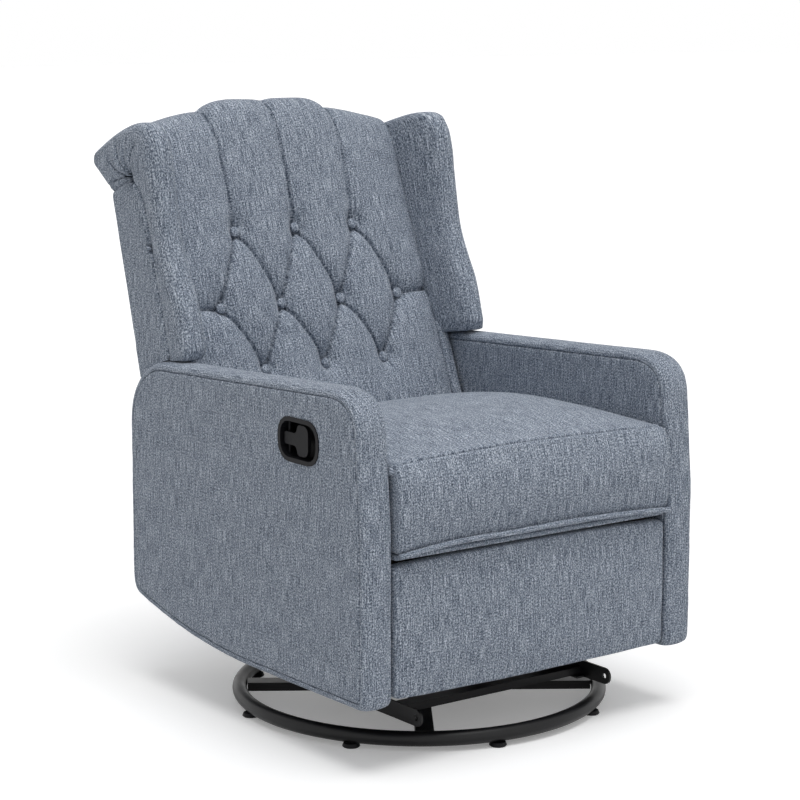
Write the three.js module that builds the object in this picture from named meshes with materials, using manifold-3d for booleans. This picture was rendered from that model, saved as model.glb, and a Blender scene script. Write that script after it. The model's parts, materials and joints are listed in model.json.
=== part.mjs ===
// Swivel glider recliner with a tufted wing back, a padded footrest and a round tube base.
// Millimetres, +Z up, the sitter faces -Y, and the sitter's right hand is on the -X side.
// Everything is placed from the swivel axis; the whole chair is then moved so that the middle
// of its footprint is the origin.

import * as THREE from 'three'
import { mergeVertices } from 'three/addons/utils/BufferGeometryUtils.js'
import Module from 'manifold-3d'

const wasm = await Module()
wasm.setup()

// Driving dimensions

const OVERALL_WIDTH = 695
const SWIVEL_AXIS_Y = -102.3
const GAP = 0.3
const PLATE = 4
const LAYER = 7

const RING = { radius: 313, tube: 12.7, centreZ: 20 }
const CROSSBAR = { width: 31, height: 15, angles: [-35.2, -125.2] }
const FOOT = { count: 8, firstAngle: -57.7, radius: 15, height: 7 }
const SWIVEL = { plate: 170, thickness: 3.2, raceRadius: 66, raceWidth: 16, raceHeight: 6, pin: 10 }

const RAIL = { x: 201, frontY: -275, rearY: 190, bottomZ: 46, height: 28, flange: 20 }
const CROSS_MEMBER = { width: 30, height: 13, ys: { front: -185, middle: -60, rear: 60 } }
const GLIDE = { pivotY: 110, topZ: 225, length: 120, radius: 13 }

const ARM = { outerX: OVERALL_WIDTH / 2, innerX: 287, frontY: -316, rearY: 388, bottomZ: 106 }
const SEAT = { halfWidth: 284, frontY: -327, rearY: 208, bottomZ: 350, deckZ: 344 }
const CARRIAGE_TOP = 321.7
const FOOT_PANEL = { halfWidth: 284, frontY: -317, padding: 33, board: 12, bottomZ: 116, topZ: 332 }

const BACK = {
  cushionHalfWidth: 261,
  bottomZ: 440,
  faceY: 262,
  faceZ: 560,
  faceSlope: 0.41,
  rearSlope: 0.28,
  rearY: 380,
  rearZ: 542,
  coverThickness: 10,
  frameThickness: 22,
  rollY: 470,
  rollZ: 925,
  rollDepth: 65,
  rollDrop: 47,
}
const WING = { innerX: 262, frontX: 290, outerX: 328 }
const RECLINE_PIVOT = { y: 240, z: 400 }

// Footrest linkage: two parallelograms, so each link turns as far as the footrest does.
const LINK = {
  mainPivot: { y: -140, z: 305 },
  mainLength: 225,
  mainAngle: -51,
  pivotSpacing: 60,
  pivotTilt: -10,
  footPivot: { y: -228, z: 262 },
  driveOffset: 45,
  driveTilt: 118,
  radius: 11,
  pin: 5,
}

const HANDLE = { y: -143, z: 512.5, length: 114, height: 73, depth: 30, flange: 1.4, wall: 2.2 }

// Materials

const fabric = new THREE.MeshStandardMaterial({ color: 0x78838f, roughness: 0.95, metalness: 0 })
const blackMetal = new THREE.MeshStandardMaterial({ color: 0x111112, roughness: 0.35, metalness: 0.6 })
const steel = new THREE.MeshStandardMaterial({ color: 0x8b8d90, roughness: 0.45, metalness: 0.9 })
const blackPlastic = new THREE.MeshStandardMaterial({ color: 0x161616, roughness: 0.5, metalness: 0 })
const wood = new THREE.MeshStandardMaterial({ color: 0xb48a5a, roughness: 0.8, metalness: 0 })

// The chair is a tree of groups: base, swivelling glider base, seat unit, back, footrest.

const chair = new THREE.Group()
const base = new THREE.Group()
const gliderBase = new THREE.Group()
const seatUnit = new THREE.Group()
const backrest = new THREE.Group()
const footrest = new THREE.Group()
chair.position.y = SWIVEL_AXIS_Y
chair.add(base, gliderBase, seatUnit)
seatUnit.add(backrest, footrest)

const SIDES = [
  { name: 'right', sign: -1 },
  { name: 'left', sign: 1 },
]

function add(group, name, geometry, material) {
  const mesh = new THREE.Mesh(geometry, material)
  mesh.name = name
  group.add(mesh)
  return mesh
}

const radians = THREE.MathUtils.degToRad
const along = (angle, length) => [Math.cos(radians(angle)) * length, Math.sin(radians(angle)) * length]

// Joining and cutting of closed solids

function toSolid(geometry) {
  const bare = geometry.clone()
  bare.deleteAttribute('normal')
  bare.deleteAttribute('uv')
  const merged = mergeVertices(bare)
  return new wasm.Manifold(new wasm.Mesh({
    numProp: 3,
    vertProperties: merged.attributes.position.array,
    triVerts: new Uint32Array(merged.index.array),
  }))
}

function toGeometry(solid) {
  const mesh = solid.getMesh()
  const geometry = new THREE.BufferGeometry()
  geometry.setAttribute('position', new THREE.BufferAttribute(mesh.vertProperties, 3))
  geometry.setIndex(new THREE.BufferAttribute(mesh.triVerts, 1))
  geometry.computeVertexNormals()
  return geometry
}

function fuse(...geometries) {
  return toGeometry(geometries.map(toSolid).reduce((whole, next) => whole.add(next)))
}

function cut(body, ...tools) {
  return toGeometry(tools.map(toSolid).reduce((rest, tool) => rest.subtract(tool), toSolid(body)))
}

// Outlines in the side view: shape X is chair Y and shape Y is chair Z.

const ARC_STEPS = 2
const CIRCLE_STEPS = 16

function circlePoints([y, z], radius) {
  return Array.from({ length: CIRCLE_STEPS }, (_, index) => {
    const [dy, dz] = along(index * 360 / CIRCLE_STEPS, radius)
    return new THREE.Vector2(y + dy, z + dz)
  })
}

// A polygon whose corners [y, z, radius] are rounded by arcs.
function roundedOutline(corners) {
  const shape = new THREE.Shape()
  const count = corners.length
  corners.forEach(([y, z, radius], index) => {
    const corner = new THREE.Vector2(y, z)
    const [beforeY, beforeZ] = corners[(index + count - 1) % count]
    const [afterY, afterZ] = corners[(index + 1) % count]
    const toBefore = new THREE.Vector2(beforeY, beforeZ).sub(corner).normalize()
    const toAfter = new THREE.Vector2(afterY, afterZ).sub(corner).normalize()
    const halfAngle = Math.acos(THREE.MathUtils.clamp(toBefore.dot(toAfter), -1, 1)) / 2
    const reach = radius / Math.tan(halfAngle)
    const start = corner.clone().addScaledVector(toBefore, reach)
    const end = corner.clone().addScaledVector(toAfter, reach)
    const middle = toBefore.clone().add(toAfter).normalize()
    const centre = corner.clone().addScaledVector(middle, radius / Math.sin(halfAngle))
    const clockwise = toBefore.cross(toAfter) > 0
    const startAngle = Math.atan2(start.y - centre.y, start.x - centre.x)
    const endAngle = Math.atan2(end.y - centre.y, end.x - centre.x)
    shape.absarc(centre.x, centre.y, radius, startAngle, endAngle, clockwise)
  })
  return new THREE.Shape(shape.getPoints(ARC_STEPS))
}

// A plate outline that goes round a set of bosses [y, z] with one radius.
function bossOutline(centres, radius) {
  const points = centres.flatMap((centre) => circlePoints(centre, radius))
  points.sort((a, b) => a.x - b.x || a.y - b.y)
  const turn = (a, b, c) => (b.x - a.x) * (c.y - a.y) - (b.y - a.y) * (c.x - a.x)
  const halfHull = (list) => list.reduce((hull, point) => {
    while (hull.length > 1 && turn(hull.at(-2), hull.at(-1), point) <= 1e-6) {
      hull.pop()
    }
    hull.push(point)
    return hull
  }, [])
  const lower = halfHull(points)
  const upper = halfHull(points.slice().reverse())
  return new THREE.Shape([...lower.slice(0, -1), ...upper.slice(0, -1)])
}

function hole(centre, radius) {
  return new THREE.Path(circlePoints(centre, radius))
}

// Solids that run across the chair, between two distances from its middle plane on one side

const ACROSS = new THREE.Matrix4().makeBasis(
  new THREE.Vector3(0, 1, 0),
  new THREE.Vector3(0, 0, 1),
  new THREE.Vector3(1, 0, 0),
)

function slab(shape, sign, inner, outer, options = {}) {
  const settings = { depth: outer - inner, bevelEnabled: false, ...options }
  const geometry = new THREE.ExtrudeGeometry(shape, settings)
  geometry.applyMatrix4(ACROSS)
  return geometry.translate(sign > 0 ? inner : -outer, 0, 0)
}

function rod(sign, y, z, radius, inner, outer) {
  const geometry = new THREE.CylinderGeometry(radius, radius, outer - inner, CIRCLE_STEPS)
  geometry.rotateZ(Math.PI / 2)
  return geometry.translate(sign * (inner + outer) / 2, y, z)
}

// A rivet that starts in one plate and heads over on the far side of another.
function rivet(sign, [y, z], from, to) {
  const inward = to < from
  const tip = inward ? to - GAP - 1.7 : to + GAP + 1.7
  const neck = inward ? to - GAP : to + GAP
  const shank = rod(sign, y, z, LINK.pin, Math.min(from, tip), Math.max(from, tip))
  const head = rod(sign, y, z, 8, Math.min(neck, tip), Math.max(neck, tip))
  return fuse(shank, head)
}

function block(width, depth, height, x, y, z) {
  return new THREE.BoxGeometry(width, depth, height).translate(x, y, z)
}

// A padded block: its vertices crowd towards the edges, which are rounded, and reshape()
// then moves each point, given its place in the block from -1 to 1 along X, Y and Z.
function paddedBlock({ size, centre, radius, segments, reshape }) {
  const half = size.clone().multiplyScalar(0.5)
  const geometry = new THREE.BoxGeometry(2, 2, 2, ...segments)
  const positions = geometry.attributes.position
  const place = new THREE.Vector3()
  const core = new THREE.Vector3()
  const limit = half.clone().subScalar(radius)
  for (let index = 0; index < positions.count; index += 1) {
    place.fromBufferAttribute(positions, index)
    for (const axis of ['x', 'y', 'z']) {
      place[axis] = Math.sin(place[axis] * Math.PI / 2)
    }
    const point = place.clone().multiply(half)
    core.copy(point).clamp(limit.clone().negate(), limit)
    const outward = point.clone().sub(core)
    if (outward.length() > radius) {
      outward.setLength(radius)
    }
    point.copy(core).add(outward).add(centre)
    reshape(point, place)
    positions.setXYZ(index, point.x, point.y, point.z)
  }
  return cleaned(geometry)
}

function cleaned(geometry) {
  geometry.deleteAttribute('normal')
  geometry.deleteAttribute('uv')
  const merged = mergeVertices(geometry)
  merged.computeVertexNormals()
  return merged
}

// A skin over rings of points, each ring the same length, closed at both ends by a fan
// round a point inside that ring.
function loft(rings, firstHub, lastHub) {
  const size = rings[0].length
  const positions = [...rings.flat(), firstHub, lastHub].flatMap((point) => point.toArray())
  const firstIndex = rings.length * size
  const index = []
  for (let ring = 0; ring < rings.length - 1; ring += 1) {
    for (let step = 0; step < size; step += 1) {
      const a = ring * size + step
      const b = ring * size + (step + 1) % size
      index.push(a, b + size, b, a, a + size, b + size)
    }
  }
  const last = (rings.length - 1) * size
  for (let step = 0; step < size; step += 1) {
    const next = (step + 1) % size
    index.push(firstIndex, step, next, firstIndex + 1, last + next, last + step)
  }
  const geometry = new THREE.BufferGeometry()
  geometry.setAttribute('position', new THREE.Float32BufferAttribute(positions, 3))
  geometry.setIndex(index)
  geometry.computeVertexNormals()
  return geometry
}

// Base: tube ring on eight glides, crossbars and the lower half of the swivel

function baseRing() {
  const geometry = new THREE.TorusGeometry(RING.radius, RING.tube, 10, 60)
  return geometry.translate(0, 0, RING.centreZ)
}

function crossbars() {
  const length = 2 * (RING.radius - RING.tube - 1.5)
  const z = RING.centreZ
  const bars = CROSSBAR.angles.map((angle) => (
    new THREE.BoxGeometry(length, CROSSBAR.width, CROSSBAR.height)
      .rotateZ(radians(angle))
      .translate(0, 0, z)
  ))
  return fuse(...bars)
}

function footGlide() {
  const profile = [
    [0, 0],
    [FOOT.radius - 2, 0],
    [FOOT.radius, 2],
    [FOOT.radius - 2, FOOT.height],
    [0, FOOT.height],
  ].map(([radius, height]) => new THREE.Vector2(radius, height))
  return new THREE.LatheGeometry(profile, CIRCLE_STEPS).rotateX(Math.PI / 2)
}

function squarePlate(size, thickness, bottomZ, holeRadius) {
  const half = size / 2
  const shape = roundedOutline([
    [-half, -half, 12],
    [half, -half, 12],
    [half, half, 12],
    [-half, half, 12],
  ])
  if (holeRadius) {
    shape.holes.push(hole([0, 0], holeRadius))
  }
  const geometry = new THREE.ExtrudeGeometry(shape, { depth: thickness, bevelEnabled: false })
  return geometry.translate(0, 0, bottomZ)
}

const SWIVEL_BOTTOM = RING.centreZ + CROSSBAR.height / 2 + GAP
const RACE_BOTTOM = SWIVEL_BOTTOM + SWIVEL.thickness + GAP
const UPPER_PLATE_BOTTOM = RACE_BOTTOM + SWIVEL.raceHeight + GAP
const UPPER_PLATE_TOP = UPPER_PLATE_BOTTOM + SWIVEL.thickness

function bearingRace() {
  const inner = SWIVEL.raceRadius - SWIVEL.raceWidth
  const profile = [
    [inner, 0],
    [SWIVEL.raceRadius, 0],
    [SWIVEL.raceRadius, SWIVEL.raceHeight],
    [inner, SWIVEL.raceHeight],
    [inner, 0],
  ].map(([radius, height]) => new THREE.Vector2(radius, height))
  return new THREE.LatheGeometry(profile, 32).rotateX(Math.PI / 2).translate(0, 0, RACE_BOTTOM)
}

function addBase() {
  add(base, 'base_ring', baseRing(), blackMetal)
  add(base, 'base_crossbars', crossbars(), blackMetal)
  for (let index = 0; index < FOOT.count; index += 1) {
    const [x, y] = along(FOOT.firstAngle + index * 360 / FOOT.count, RING.radius)
    const foot = add(base, `foot_glide_${index + 1}`, footGlide(), blackPlastic)
    foot.position.set(x, y, 0)
  }
  const plate = squarePlate(SWIVEL.plate, SWIVEL.thickness, SWIVEL_BOTTOM, SWIVEL.pin + 0.5)
  add(base, 'swivel_lower_plate', plate, blackMetal)
  add(base, 'swivel_bearing', bearingRace(), steel)
}

// Glider base: two angle rails on cross members over the swivel, with two hangers on each rail

function swivelUpperPlate() {
  const pinBottom = SWIVEL_BOTTOM
  const pinLength = UPPER_PLATE_TOP - pinBottom
  const pin = new THREE.CylinderGeometry(SWIVEL.pin, SWIVEL.pin, pinLength, 24)
  pin.rotateX(Math.PI / 2)
  pin.translate(0, 0, pinBottom + pinLength / 2)
  return fuse(squarePlate(SWIVEL.plate, SWIVEL.thickness, UPPER_PLATE_BOTTOM, 0), pin)
}

function angleRail(sign) {
  const top = RAIL.bottomZ + RAIL.height
  const half = RAIL.height / 2
  const middleZ = RAIL.bottomZ + half
  const web = roundedOutline([
    [RAIL.frontY, RAIL.bottomZ, half - 0.1],
    [RAIL.rearY, RAIL.bottomZ, 4],
    [RAIL.rearY, top, 4],
    [RAIL.frontY, top, half - 0.1],
  ])
  web.holes.push(hole([RAIL.frontY + half, middleZ], 5))
  const flangeOuter = RAIL.x + PLATE / 2
  const flange = block(
    RAIL.flange,
    RAIL.rearY - RAIL.frontY - 90,
    3,
    sign * (flangeOuter - RAIL.flange / 2),
    (RAIL.frontY + RAIL.rearY) / 2 + 20,
    RAIL.bottomZ + 1.5,
  )
  return fuse(slab(web, sign, flangeOuter - PLATE, flangeOuter), flange)
}

// A channel, open below, that sits between the rails on their flanges.
function crossMember(y) {
  const halfWidth = CROSS_MEMBER.width / 2
  const bottom = RAIL.bottomZ + 3 + GAP
  const top = bottom + CROSS_MEMBER.height
  const wall = 3
  const channel = new THREE.Shape([
    [y - halfWidth, bottom],
    [y - halfWidth + wall, bottom],
    [y - halfWidth + wall, top - wall],
    [y + halfWidth - wall, top - wall],
    [y + halfWidth - wall, bottom],
    [y + halfWidth, bottom],
    [y + halfWidth, top],
    [y - halfWidth, top],
  ].map(([py, pz]) => new THREE.Vector2(py, pz)))
  const reach = RAIL.x - PLATE / 2 - GAP
  const geometry = new THREE.ExtrudeGeometry(channel, { depth: 2 * reach, bevelEnabled: false })
  geometry.applyMatrix4(ACROSS)
  return geometry.translate(-reach, 0, 0)
}

const HANGER_INNER = RAIL.x + PLATE / 2 + GAP
const GLIDE_LINK_INNER = HANGER_INNER + LAYER
const CARRIAGE_INNER = GLIDE_LINK_INNER + LAYER

// A tapered bracket on the rail's outer face, with the pin that a glide link hangs from.
function hanger(sign, y) {
  const ear = GLIDE.radius
  const foot = ear + 22
  const top = GLIDE.topZ + ear
  const outline = roundedOutline([
    [y - foot, RAIL.bottomZ + 2, 6],
    [y + foot, RAIL.bottomZ + 2, 6],
    [y + foot, RAIL.bottomZ + RAIL.height, 10],
    [y + ear, GLIDE.topZ - 60, 20],
    [y + ear, top, ear - 0.5],
    [y - ear, top, ear - 0.5],
    [y - ear, GLIDE.topZ - 60, 20],
    [y - foot, RAIL.bottomZ + RAIL.height, 10],
  ])
  const plate = slab(outline, sign, HANGER_INNER, HANGER_INNER + PLATE)
  return fuse(plate, rivet(sign, [y, GLIDE.topZ], HANGER_INNER + 1, GLIDE_LINK_INNER + PLATE))
}

function glideLink(sign, y) {
  const bottomZ = GLIDE.topZ - GLIDE.length
  const outline = bossOutline([[y, GLIDE.topZ], [y, bottomZ]], GLIDE.radius)
  outline.holes.push(hole([y, GLIDE.topZ], LINK.pin + GAP))
  const plate = slab(outline, sign, GLIDE_LINK_INNER, GLIDE_LINK_INNER + PLATE)
  return fuse(plate, rivet(sign, [y, bottomZ], GLIDE_LINK_INNER + 1, CARRIAGE_INNER + PLATE))
}

function addGliderBase() {
  add(gliderBase, 'swivel_upper_plate', swivelUpperPlate(), blackMetal)
  for (const [name, y] of Object.entries(CROSS_MEMBER.ys)) {
    add(gliderBase, `cross_member_${name}`, crossMember(y), blackMetal)
  }
  for (const { name, sign } of SIDES) {
    add(gliderBase, `base_rail_${name}`, angleRail(sign), blackMetal)
    for (const [place, y] of [['front', -GLIDE.pivotY], ['rear', GLIDE.pivotY]]) {
      add(gliderBase, `${place}_hanger_${name}`, hanger(sign, y), blackMetal)
      add(gliderBase, `${place}_glide_link_${name}`, glideLink(sign, y), blackMetal)
    }
  }
}

// Seat unit: carriage and side plates, seat frame and deck, arms, seat cushion, panels

function carriagePlate(sign) {
  const reach = GLIDE.pivotY
  const bottom = GLIDE.topZ - GLIDE.length - GLIDE.radius
  const outline = roundedOutline([
    [-reach - 14, bottom, 12],
    [reach + 14, bottom, 12],
    [reach + 14, bottom + 40, 20],
    [185, CARRIAGE_TOP - 30, 20],
    [185, CARRIAGE_TOP, 2],
    [-reach - 14, CARRIAGE_TOP, 2],
  ])
  for (const y of [-48, 48]) {
    outline.holes.push(rectangle(y, CARRIAGE_TOP - 85, 76, 80, 15))
  }
  for (const y of [-reach, reach]) {
    outline.holes.push(hole([y, GLIDE.topZ - GLIDE.length], LINK.pin + GAP))
  }
  return slab(outline, sign, CARRIAGE_INNER, CARRIAGE_INNER + PLATE)
}

// Each footrest link lies in its own layer, counted inwards from the side plate.
const SIDE_PLATE_OUTER = ARM.innerX - GAP
const SIDE_PLATE_INNER = SIDE_PLATE_OUTER - PLATE
const layerInner = (layer) => SIDE_PLATE_INNER - layer * LAYER
const layerOuter = (layer) => layerInner(layer) + PLATE

// Pivots of the linkage at rest, worked out from the parallelograms
const shift = ([y, z], [dy, dz]) => [y + dy, z + dz]
const MAIN_PIVOT = [LINK.mainPivot.y, LINK.mainPivot.z]
const SPACING = along(LINK.pivotTilt, LINK.pivotSpacing)
const CONTROL_PIVOT = shift(MAIN_PIVOT, SPACING)
const MAIN_KNEE = shift(MAIN_PIVOT, along(LINK.mainAngle, LINK.mainLength))
const CONTROL_KNEE = shift(MAIN_KNEE, SPACING)
const FOOT_PIVOT = [LINK.footPivot.y, LINK.footPivot.z]
const DRIVE_OFFSET = along(LINK.driveTilt, LINK.driveOffset)
const DRIVE_KNEE = shift(MAIN_KNEE, DRIVE_OFFSET)
const DRIVE_FOOT = shift(FOOT_PIVOT, DRIVE_OFFSET)

function sidePlate(sign) {
  const { y, z } = RECLINE_PIVOT
  const top = CARRIAGE_TOP
  const outline = roundedOutline([
    [-175, 285, 14],
    [-130, 268, 18],
    [-60, 268, 18],
    [-20, 295, 20],
    [200, 295, 20],
    [y + 16, z - 40, 20],
    [y + 16, z + 16, 15.5],
    [y - 16, z + 16, 15.5],
    [y - 16, z - 30, 20],
    [212, top, 4],
    [-175, top, 4],
  ])
  outline.holes.push(hole(MAIN_PIVOT, 8 + GAP))
  const plate = slab(outline, sign, SIDE_PLATE_INNER, SIDE_PLATE_OUTER)
  const controlPin = rivet(sign, CONTROL_PIVOT, SIDE_PLATE_INNER + 1, layerInner(1))
  const reclinePin = rivet(sign, [y, z], SIDE_PLATE_INNER + 1, layerInner(1))
  return fuse(plate, controlPin, reclinePin)
}

function seatFrame() {
  const halfWidth = SIDE_PLATE_OUTER
  const inner = CARRIAGE_INNER - 12
  const outline = new THREE.Shape([
    new THREE.Vector2(-halfWidth, -262),
    new THREE.Vector2(halfWidth, -262),
    new THREE.Vector2(halfWidth, 200),
    new THREE.Vector2(-halfWidth, 200),
  ])
  outline.holes.push(new THREE.Path([
    new THREE.Vector2(-inner, -215),
    new THREE.Vector2(-inner, 150),
    new THREE.Vector2(inner, 150),
    new THREE.Vector2(inner, -215),
  ]))
  const depth = SEAT.deckZ - CARRIAGE_TOP - 2 * GAP
  return new THREE.ExtrudeGeometry(outline, { depth, bevelEnabled: false }).translate(0, 0, CARRIAGE_TOP + GAP)
}

function seatDeck() {
  const height = SEAT.bottomZ - SEAT.deckZ - GAP
  return block(2 * SIDE_PLATE_OUTER - 10, 455, height, 0, -31, SEAT.deckZ + height / 2)
}

function frontRail() {
  const size = new THREE.Vector3(2 * SEAT.halfWidth, 48, 9.6)
  const centre = new THREE.Vector3(0, -314 + size.y / 2, SEAT.bottomZ - GAP - size.z / 2)
  return paddedBlock({ size, centre, radius: 4.5, segments: [4, 6, 4], reshape: () => {} })
}

// The seat is highest near the middle and falls towards the back.
function seatCushion() {
  const length = SEAT.rearY - SEAT.frontY
  const seamZ = 478
  const crown = 26
  const size = new THREE.Vector3(2 * SEAT.halfWidth, length, seamZ - SEAT.bottomZ)
  const centre = new THREE.Vector3(0, (SEAT.frontY + SEAT.rearY) / 2, (seamZ + SEAT.bottomZ) / 2)
  const reshape = (point, place) => {
    const lift = (place.z + 1) / 2
    const fall = Math.max(0, point.y + 50) * 0.107
    const edgeRise = 18 - fall
    const dome = crown * (1 - place.x ** 4) * (1 - place.y ** 4)
    point.z += lift * (edgeRise + dome)
    const frontDip = Math.max(0, -place.y) ** 8
    point.z -= lift * 6 * frontDip * place.x ** 2
    point.y -= 3 * frontDip * (1 - place.x ** 2) * (1 - place.z ** 2)
  }
  return paddedBlock({ size, centre, radius: 16, segments: [14, 12, 6], reshape })
}

function armOutline() {
  const { frontY, rearY, bottomZ } = ARM
  const frontTop = [frontY + 13, 608]
  const rearTop = [rearY - 2, 580]
  const shape = new THREE.Shape()
  const corner = 16
  shape.moveTo(frontY + corner, bottomZ)
  shape.lineTo(0, bottomZ)
  shape.quadraticCurveTo(rearY / 2, bottomZ, rearY - 18, bottomZ + 52)
  shape.quadraticCurveTo(rearY + 1, bottomZ + 60, rearY, bottomZ + 90)
  shape.absarc(rearTop[0] - 115, rearTop[1] - 112, 115, 0, Math.PI / 2 - 0.04, false)
  shape.lineTo(frontTop[0] + 75, frontTop[1] - 2)
  shape.bezierCurveTo(
    frontTop[0] + 32, frontTop[1] - 3,
    frontTop[0] + 4, frontTop[1] - 22,
    frontTop[0], frontTop[1] - 62,
  )
  shape.lineTo(frontY, 390)
  shape.lineTo(frontY, bottomZ + corner)
  shape.quadraticCurveTo(frontY, bottomZ, frontY + corner, bottomZ)
  return shape
}

function rectangle(y, z, length, height, radius) {
  return roundedOutline([
    [y - length / 2, z - height / 2, radius],
    [y + length / 2, z - height / 2, radius],
    [y + length / 2, z + height / 2, radius],
    [y - length / 2, z + height / 2, radius],
  ])
}

const CUP_RADIUS = 30

function arm(sign) {
  const bevel = 7
  const thickness = ARM.outerX - ARM.innerX
  const geometry = slab(armOutline(), sign, ARM.innerX + bevel, ARM.innerX + thickness - bevel, {
    bevelEnabled: true,
    bevelThickness: bevel,
    bevelSize: bevel,
    bevelOffset: -bevel,
    bevelSegments: 2,
    curveSegments: 8,
  })
  if (sign > 0) {
    return cleaned(geometry)
  }
  const { y, z, length, height, depth, flange } = HANDLE
  const pocket = rectangle(y, z, length - 10 + 2 * GAP, height - 10 + 2 * GAP, CUP_RADIUS - 5)
  return cut(geometry, slab(pocket, sign, ARM.outerX - depth - GAP, ARM.outerX + flange))
}

function handleCup() {
  const { y, z, length, height, depth, flange, wall } = HANDLE
  const rim = rectangle(y, z, length, height, CUP_RADIUS)
  const body = rectangle(y, z, length - 10, height - 10, CUP_RADIUS - 5)
  const space = rectangle(y, z, length - 10 - 2 * wall, height - 10 - 2 * wall, CUP_RADIUS - 5 - wall)
  const faceX = ARM.outerX + GAP
  const shell = fuse(
    slab(rim, -1, faceX, faceX + flange),
    slab(body, -1, ARM.outerX - depth, faceX + flange / 2),
  )
  const bodyWithSpace = cut(shell, slab(space, -1, ARM.outerX - depth + wall, faceX + flange + 1))
  return fuse(bodyWithSpace, handleSpindle())
}

const HANDLE_PIVOT = { x: -336, y: HANDLE.y + 41 }

// A vertical post near the rear end of the cup, which the paddle turns on.
function handleSpindle() {
  const height = 50
  const post = new THREE.CylinderGeometry(2.5, 2.5, height, CIRCLE_STEPS).rotateX(Math.PI / 2)
  return post.translate(HANDLE_PIVOT.x, HANDLE_PIVOT.y, HANDLE.z)
}

function releasePaddle() {
  const { y, z } = HANDLE
  const faceX = ARM.outerX - 3
  const rear = HANDLE_PIVOT.y + 3
  const outline = roundedOutline([
    [rear, z - 10, 4],
    [rear, z + 10, 4],
    [y + 12, z + 10, 8],
    [y + 6, z + 25, 7],
    [y - 22, z + 25, 12],
    [y - 22, z - 25, 12],
    [y + 6, z - 25, 7],
    [y + 12, z - 10, 8],
  ])
  const plate = slab(outline, -1, faceX - 6, faceX)
  const knuckle = new THREE.CylinderGeometry(6, 6, 20, CIRCLE_STEPS).rotateX(Math.PI / 2)
  knuckle.translate(HANDLE_PIVOT.x, HANDLE_PIVOT.y, z)
  const bore = new THREE.CylinderGeometry(2.5 + GAP, 2.5 + GAP, 40, CIRCLE_STEPS).rotateX(Math.PI / 2)
  bore.translate(HANDLE_PIVOT.x, HANDLE_PIVOT.y, z)
  return cut(fuse(plate, knuckle), bore)
}

function rearPanel() {
  const height = 236
  return block(2 * SIDE_PLATE_OUTER, 12, height, 0, 374, 132 + height / 2)
}

function addSeatUnit() {
  for (const { name, sign } of SIDES) {
    add(seatUnit, `carriage_plate_${name}`, carriagePlate(sign), blackMetal)
    add(seatUnit, `side_plate_${name}`, sidePlate(sign), blackMetal)
    add(seatUnit, `arm_${name}`, arm(sign), fabric)
  }
  add(seatUnit, 'seat_frame', seatFrame(), wood)
  add(seatUnit, 'seat_deck', seatDeck(), wood)
  add(seatUnit, 'front_rail', frontRail(), fabric)
  add(seatUnit, 'seat_cushion', seatCushion(), fabric)
  add(seatUnit, 'rear_panel', rearPanel(), fabric)
  add(seatUnit, 'handle_cup', handleCup(), blackPlastic)
  add(seatUnit, 'release_paddle', releasePaddle(), blackPlastic)
}

// Footrest: main and control links on the side plate, lift and drive links to the footrest

const holeThrough = (centre) => hole(centre, LINK.pin + GAP)

// Both main links and the tube that ties them are one welded piece.
function mainLinks() {
  const pieces = SIDES.flatMap(({ sign }) => {
    const outline = bossOutline([MAIN_PIVOT, MAIN_KNEE, DRIVE_KNEE], LINK.radius)
    return [
      slab(outline, sign, layerInner(1), layerOuter(1)),
      rod(sign, ...MAIN_PIVOT, 8, layerInner(1) - 20, SIDE_PLATE_OUTER - GAP),
      rivet(sign, MAIN_KNEE, layerInner(1) + 1, layerInner(2)),
      rivet(sign, DRIVE_KNEE, layerInner(1) + 1, layerInner(3)),
    ]
  })
  const tube = new THREE.CylinderGeometry(9, 9, 2 * layerInner(1) + 2, CIRCLE_STEPS).rotateZ(Math.PI / 2)
  tube.translate(0, ...MAIN_PIVOT)
  return fuse(tube, ...pieces)
}

function controlLink(sign) {
  const outline = bossOutline([CONTROL_PIVOT, CONTROL_KNEE], LINK.radius)
  outline.holes.push(holeThrough(CONTROL_PIVOT), holeThrough(CONTROL_KNEE))
  return slab(outline, sign, layerInner(1), layerOuter(1))
}

// A cranked bar: a short tail back to the control link and a long arm to the footrest.
function liftLink(sign) {
  const arms = [CONTROL_KNEE, FOOT_PIVOT].map((end) => (
    slab(bossOutline([MAIN_KNEE, end], LINK.radius), sign, layerInner(2), layerOuter(2))
  ))
  const pin = rivet(sign, CONTROL_KNEE, layerInner(2) + 1, layerOuter(1))
  const bores = [MAIN_KNEE, FOOT_PIVOT].map((centre) => (
    rod(sign, ...centre, LINK.pin + GAP, layerInner(2) - 1, layerOuter(2) + 1)
  ))
  return cut(fuse(...arms, pin), ...bores)
}

function driveLink(sign) {
  const outline = bossOutline([DRIVE_KNEE, DRIVE_FOOT], LINK.radius)
  outline.holes.push(holeThrough(DRIVE_KNEE), holeThrough(DRIVE_FOOT))
  return slab(outline, sign, layerInner(3), layerOuter(3))
}

const BOARD_FRONT = FOOT_PANEL.frontY + FOOT_PANEL.padding + GAP
const BOARD_REAR = BOARD_FRONT + FOOT_PANEL.board
const BRACKET_FRONT = BOARD_REAR + GAP

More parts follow.
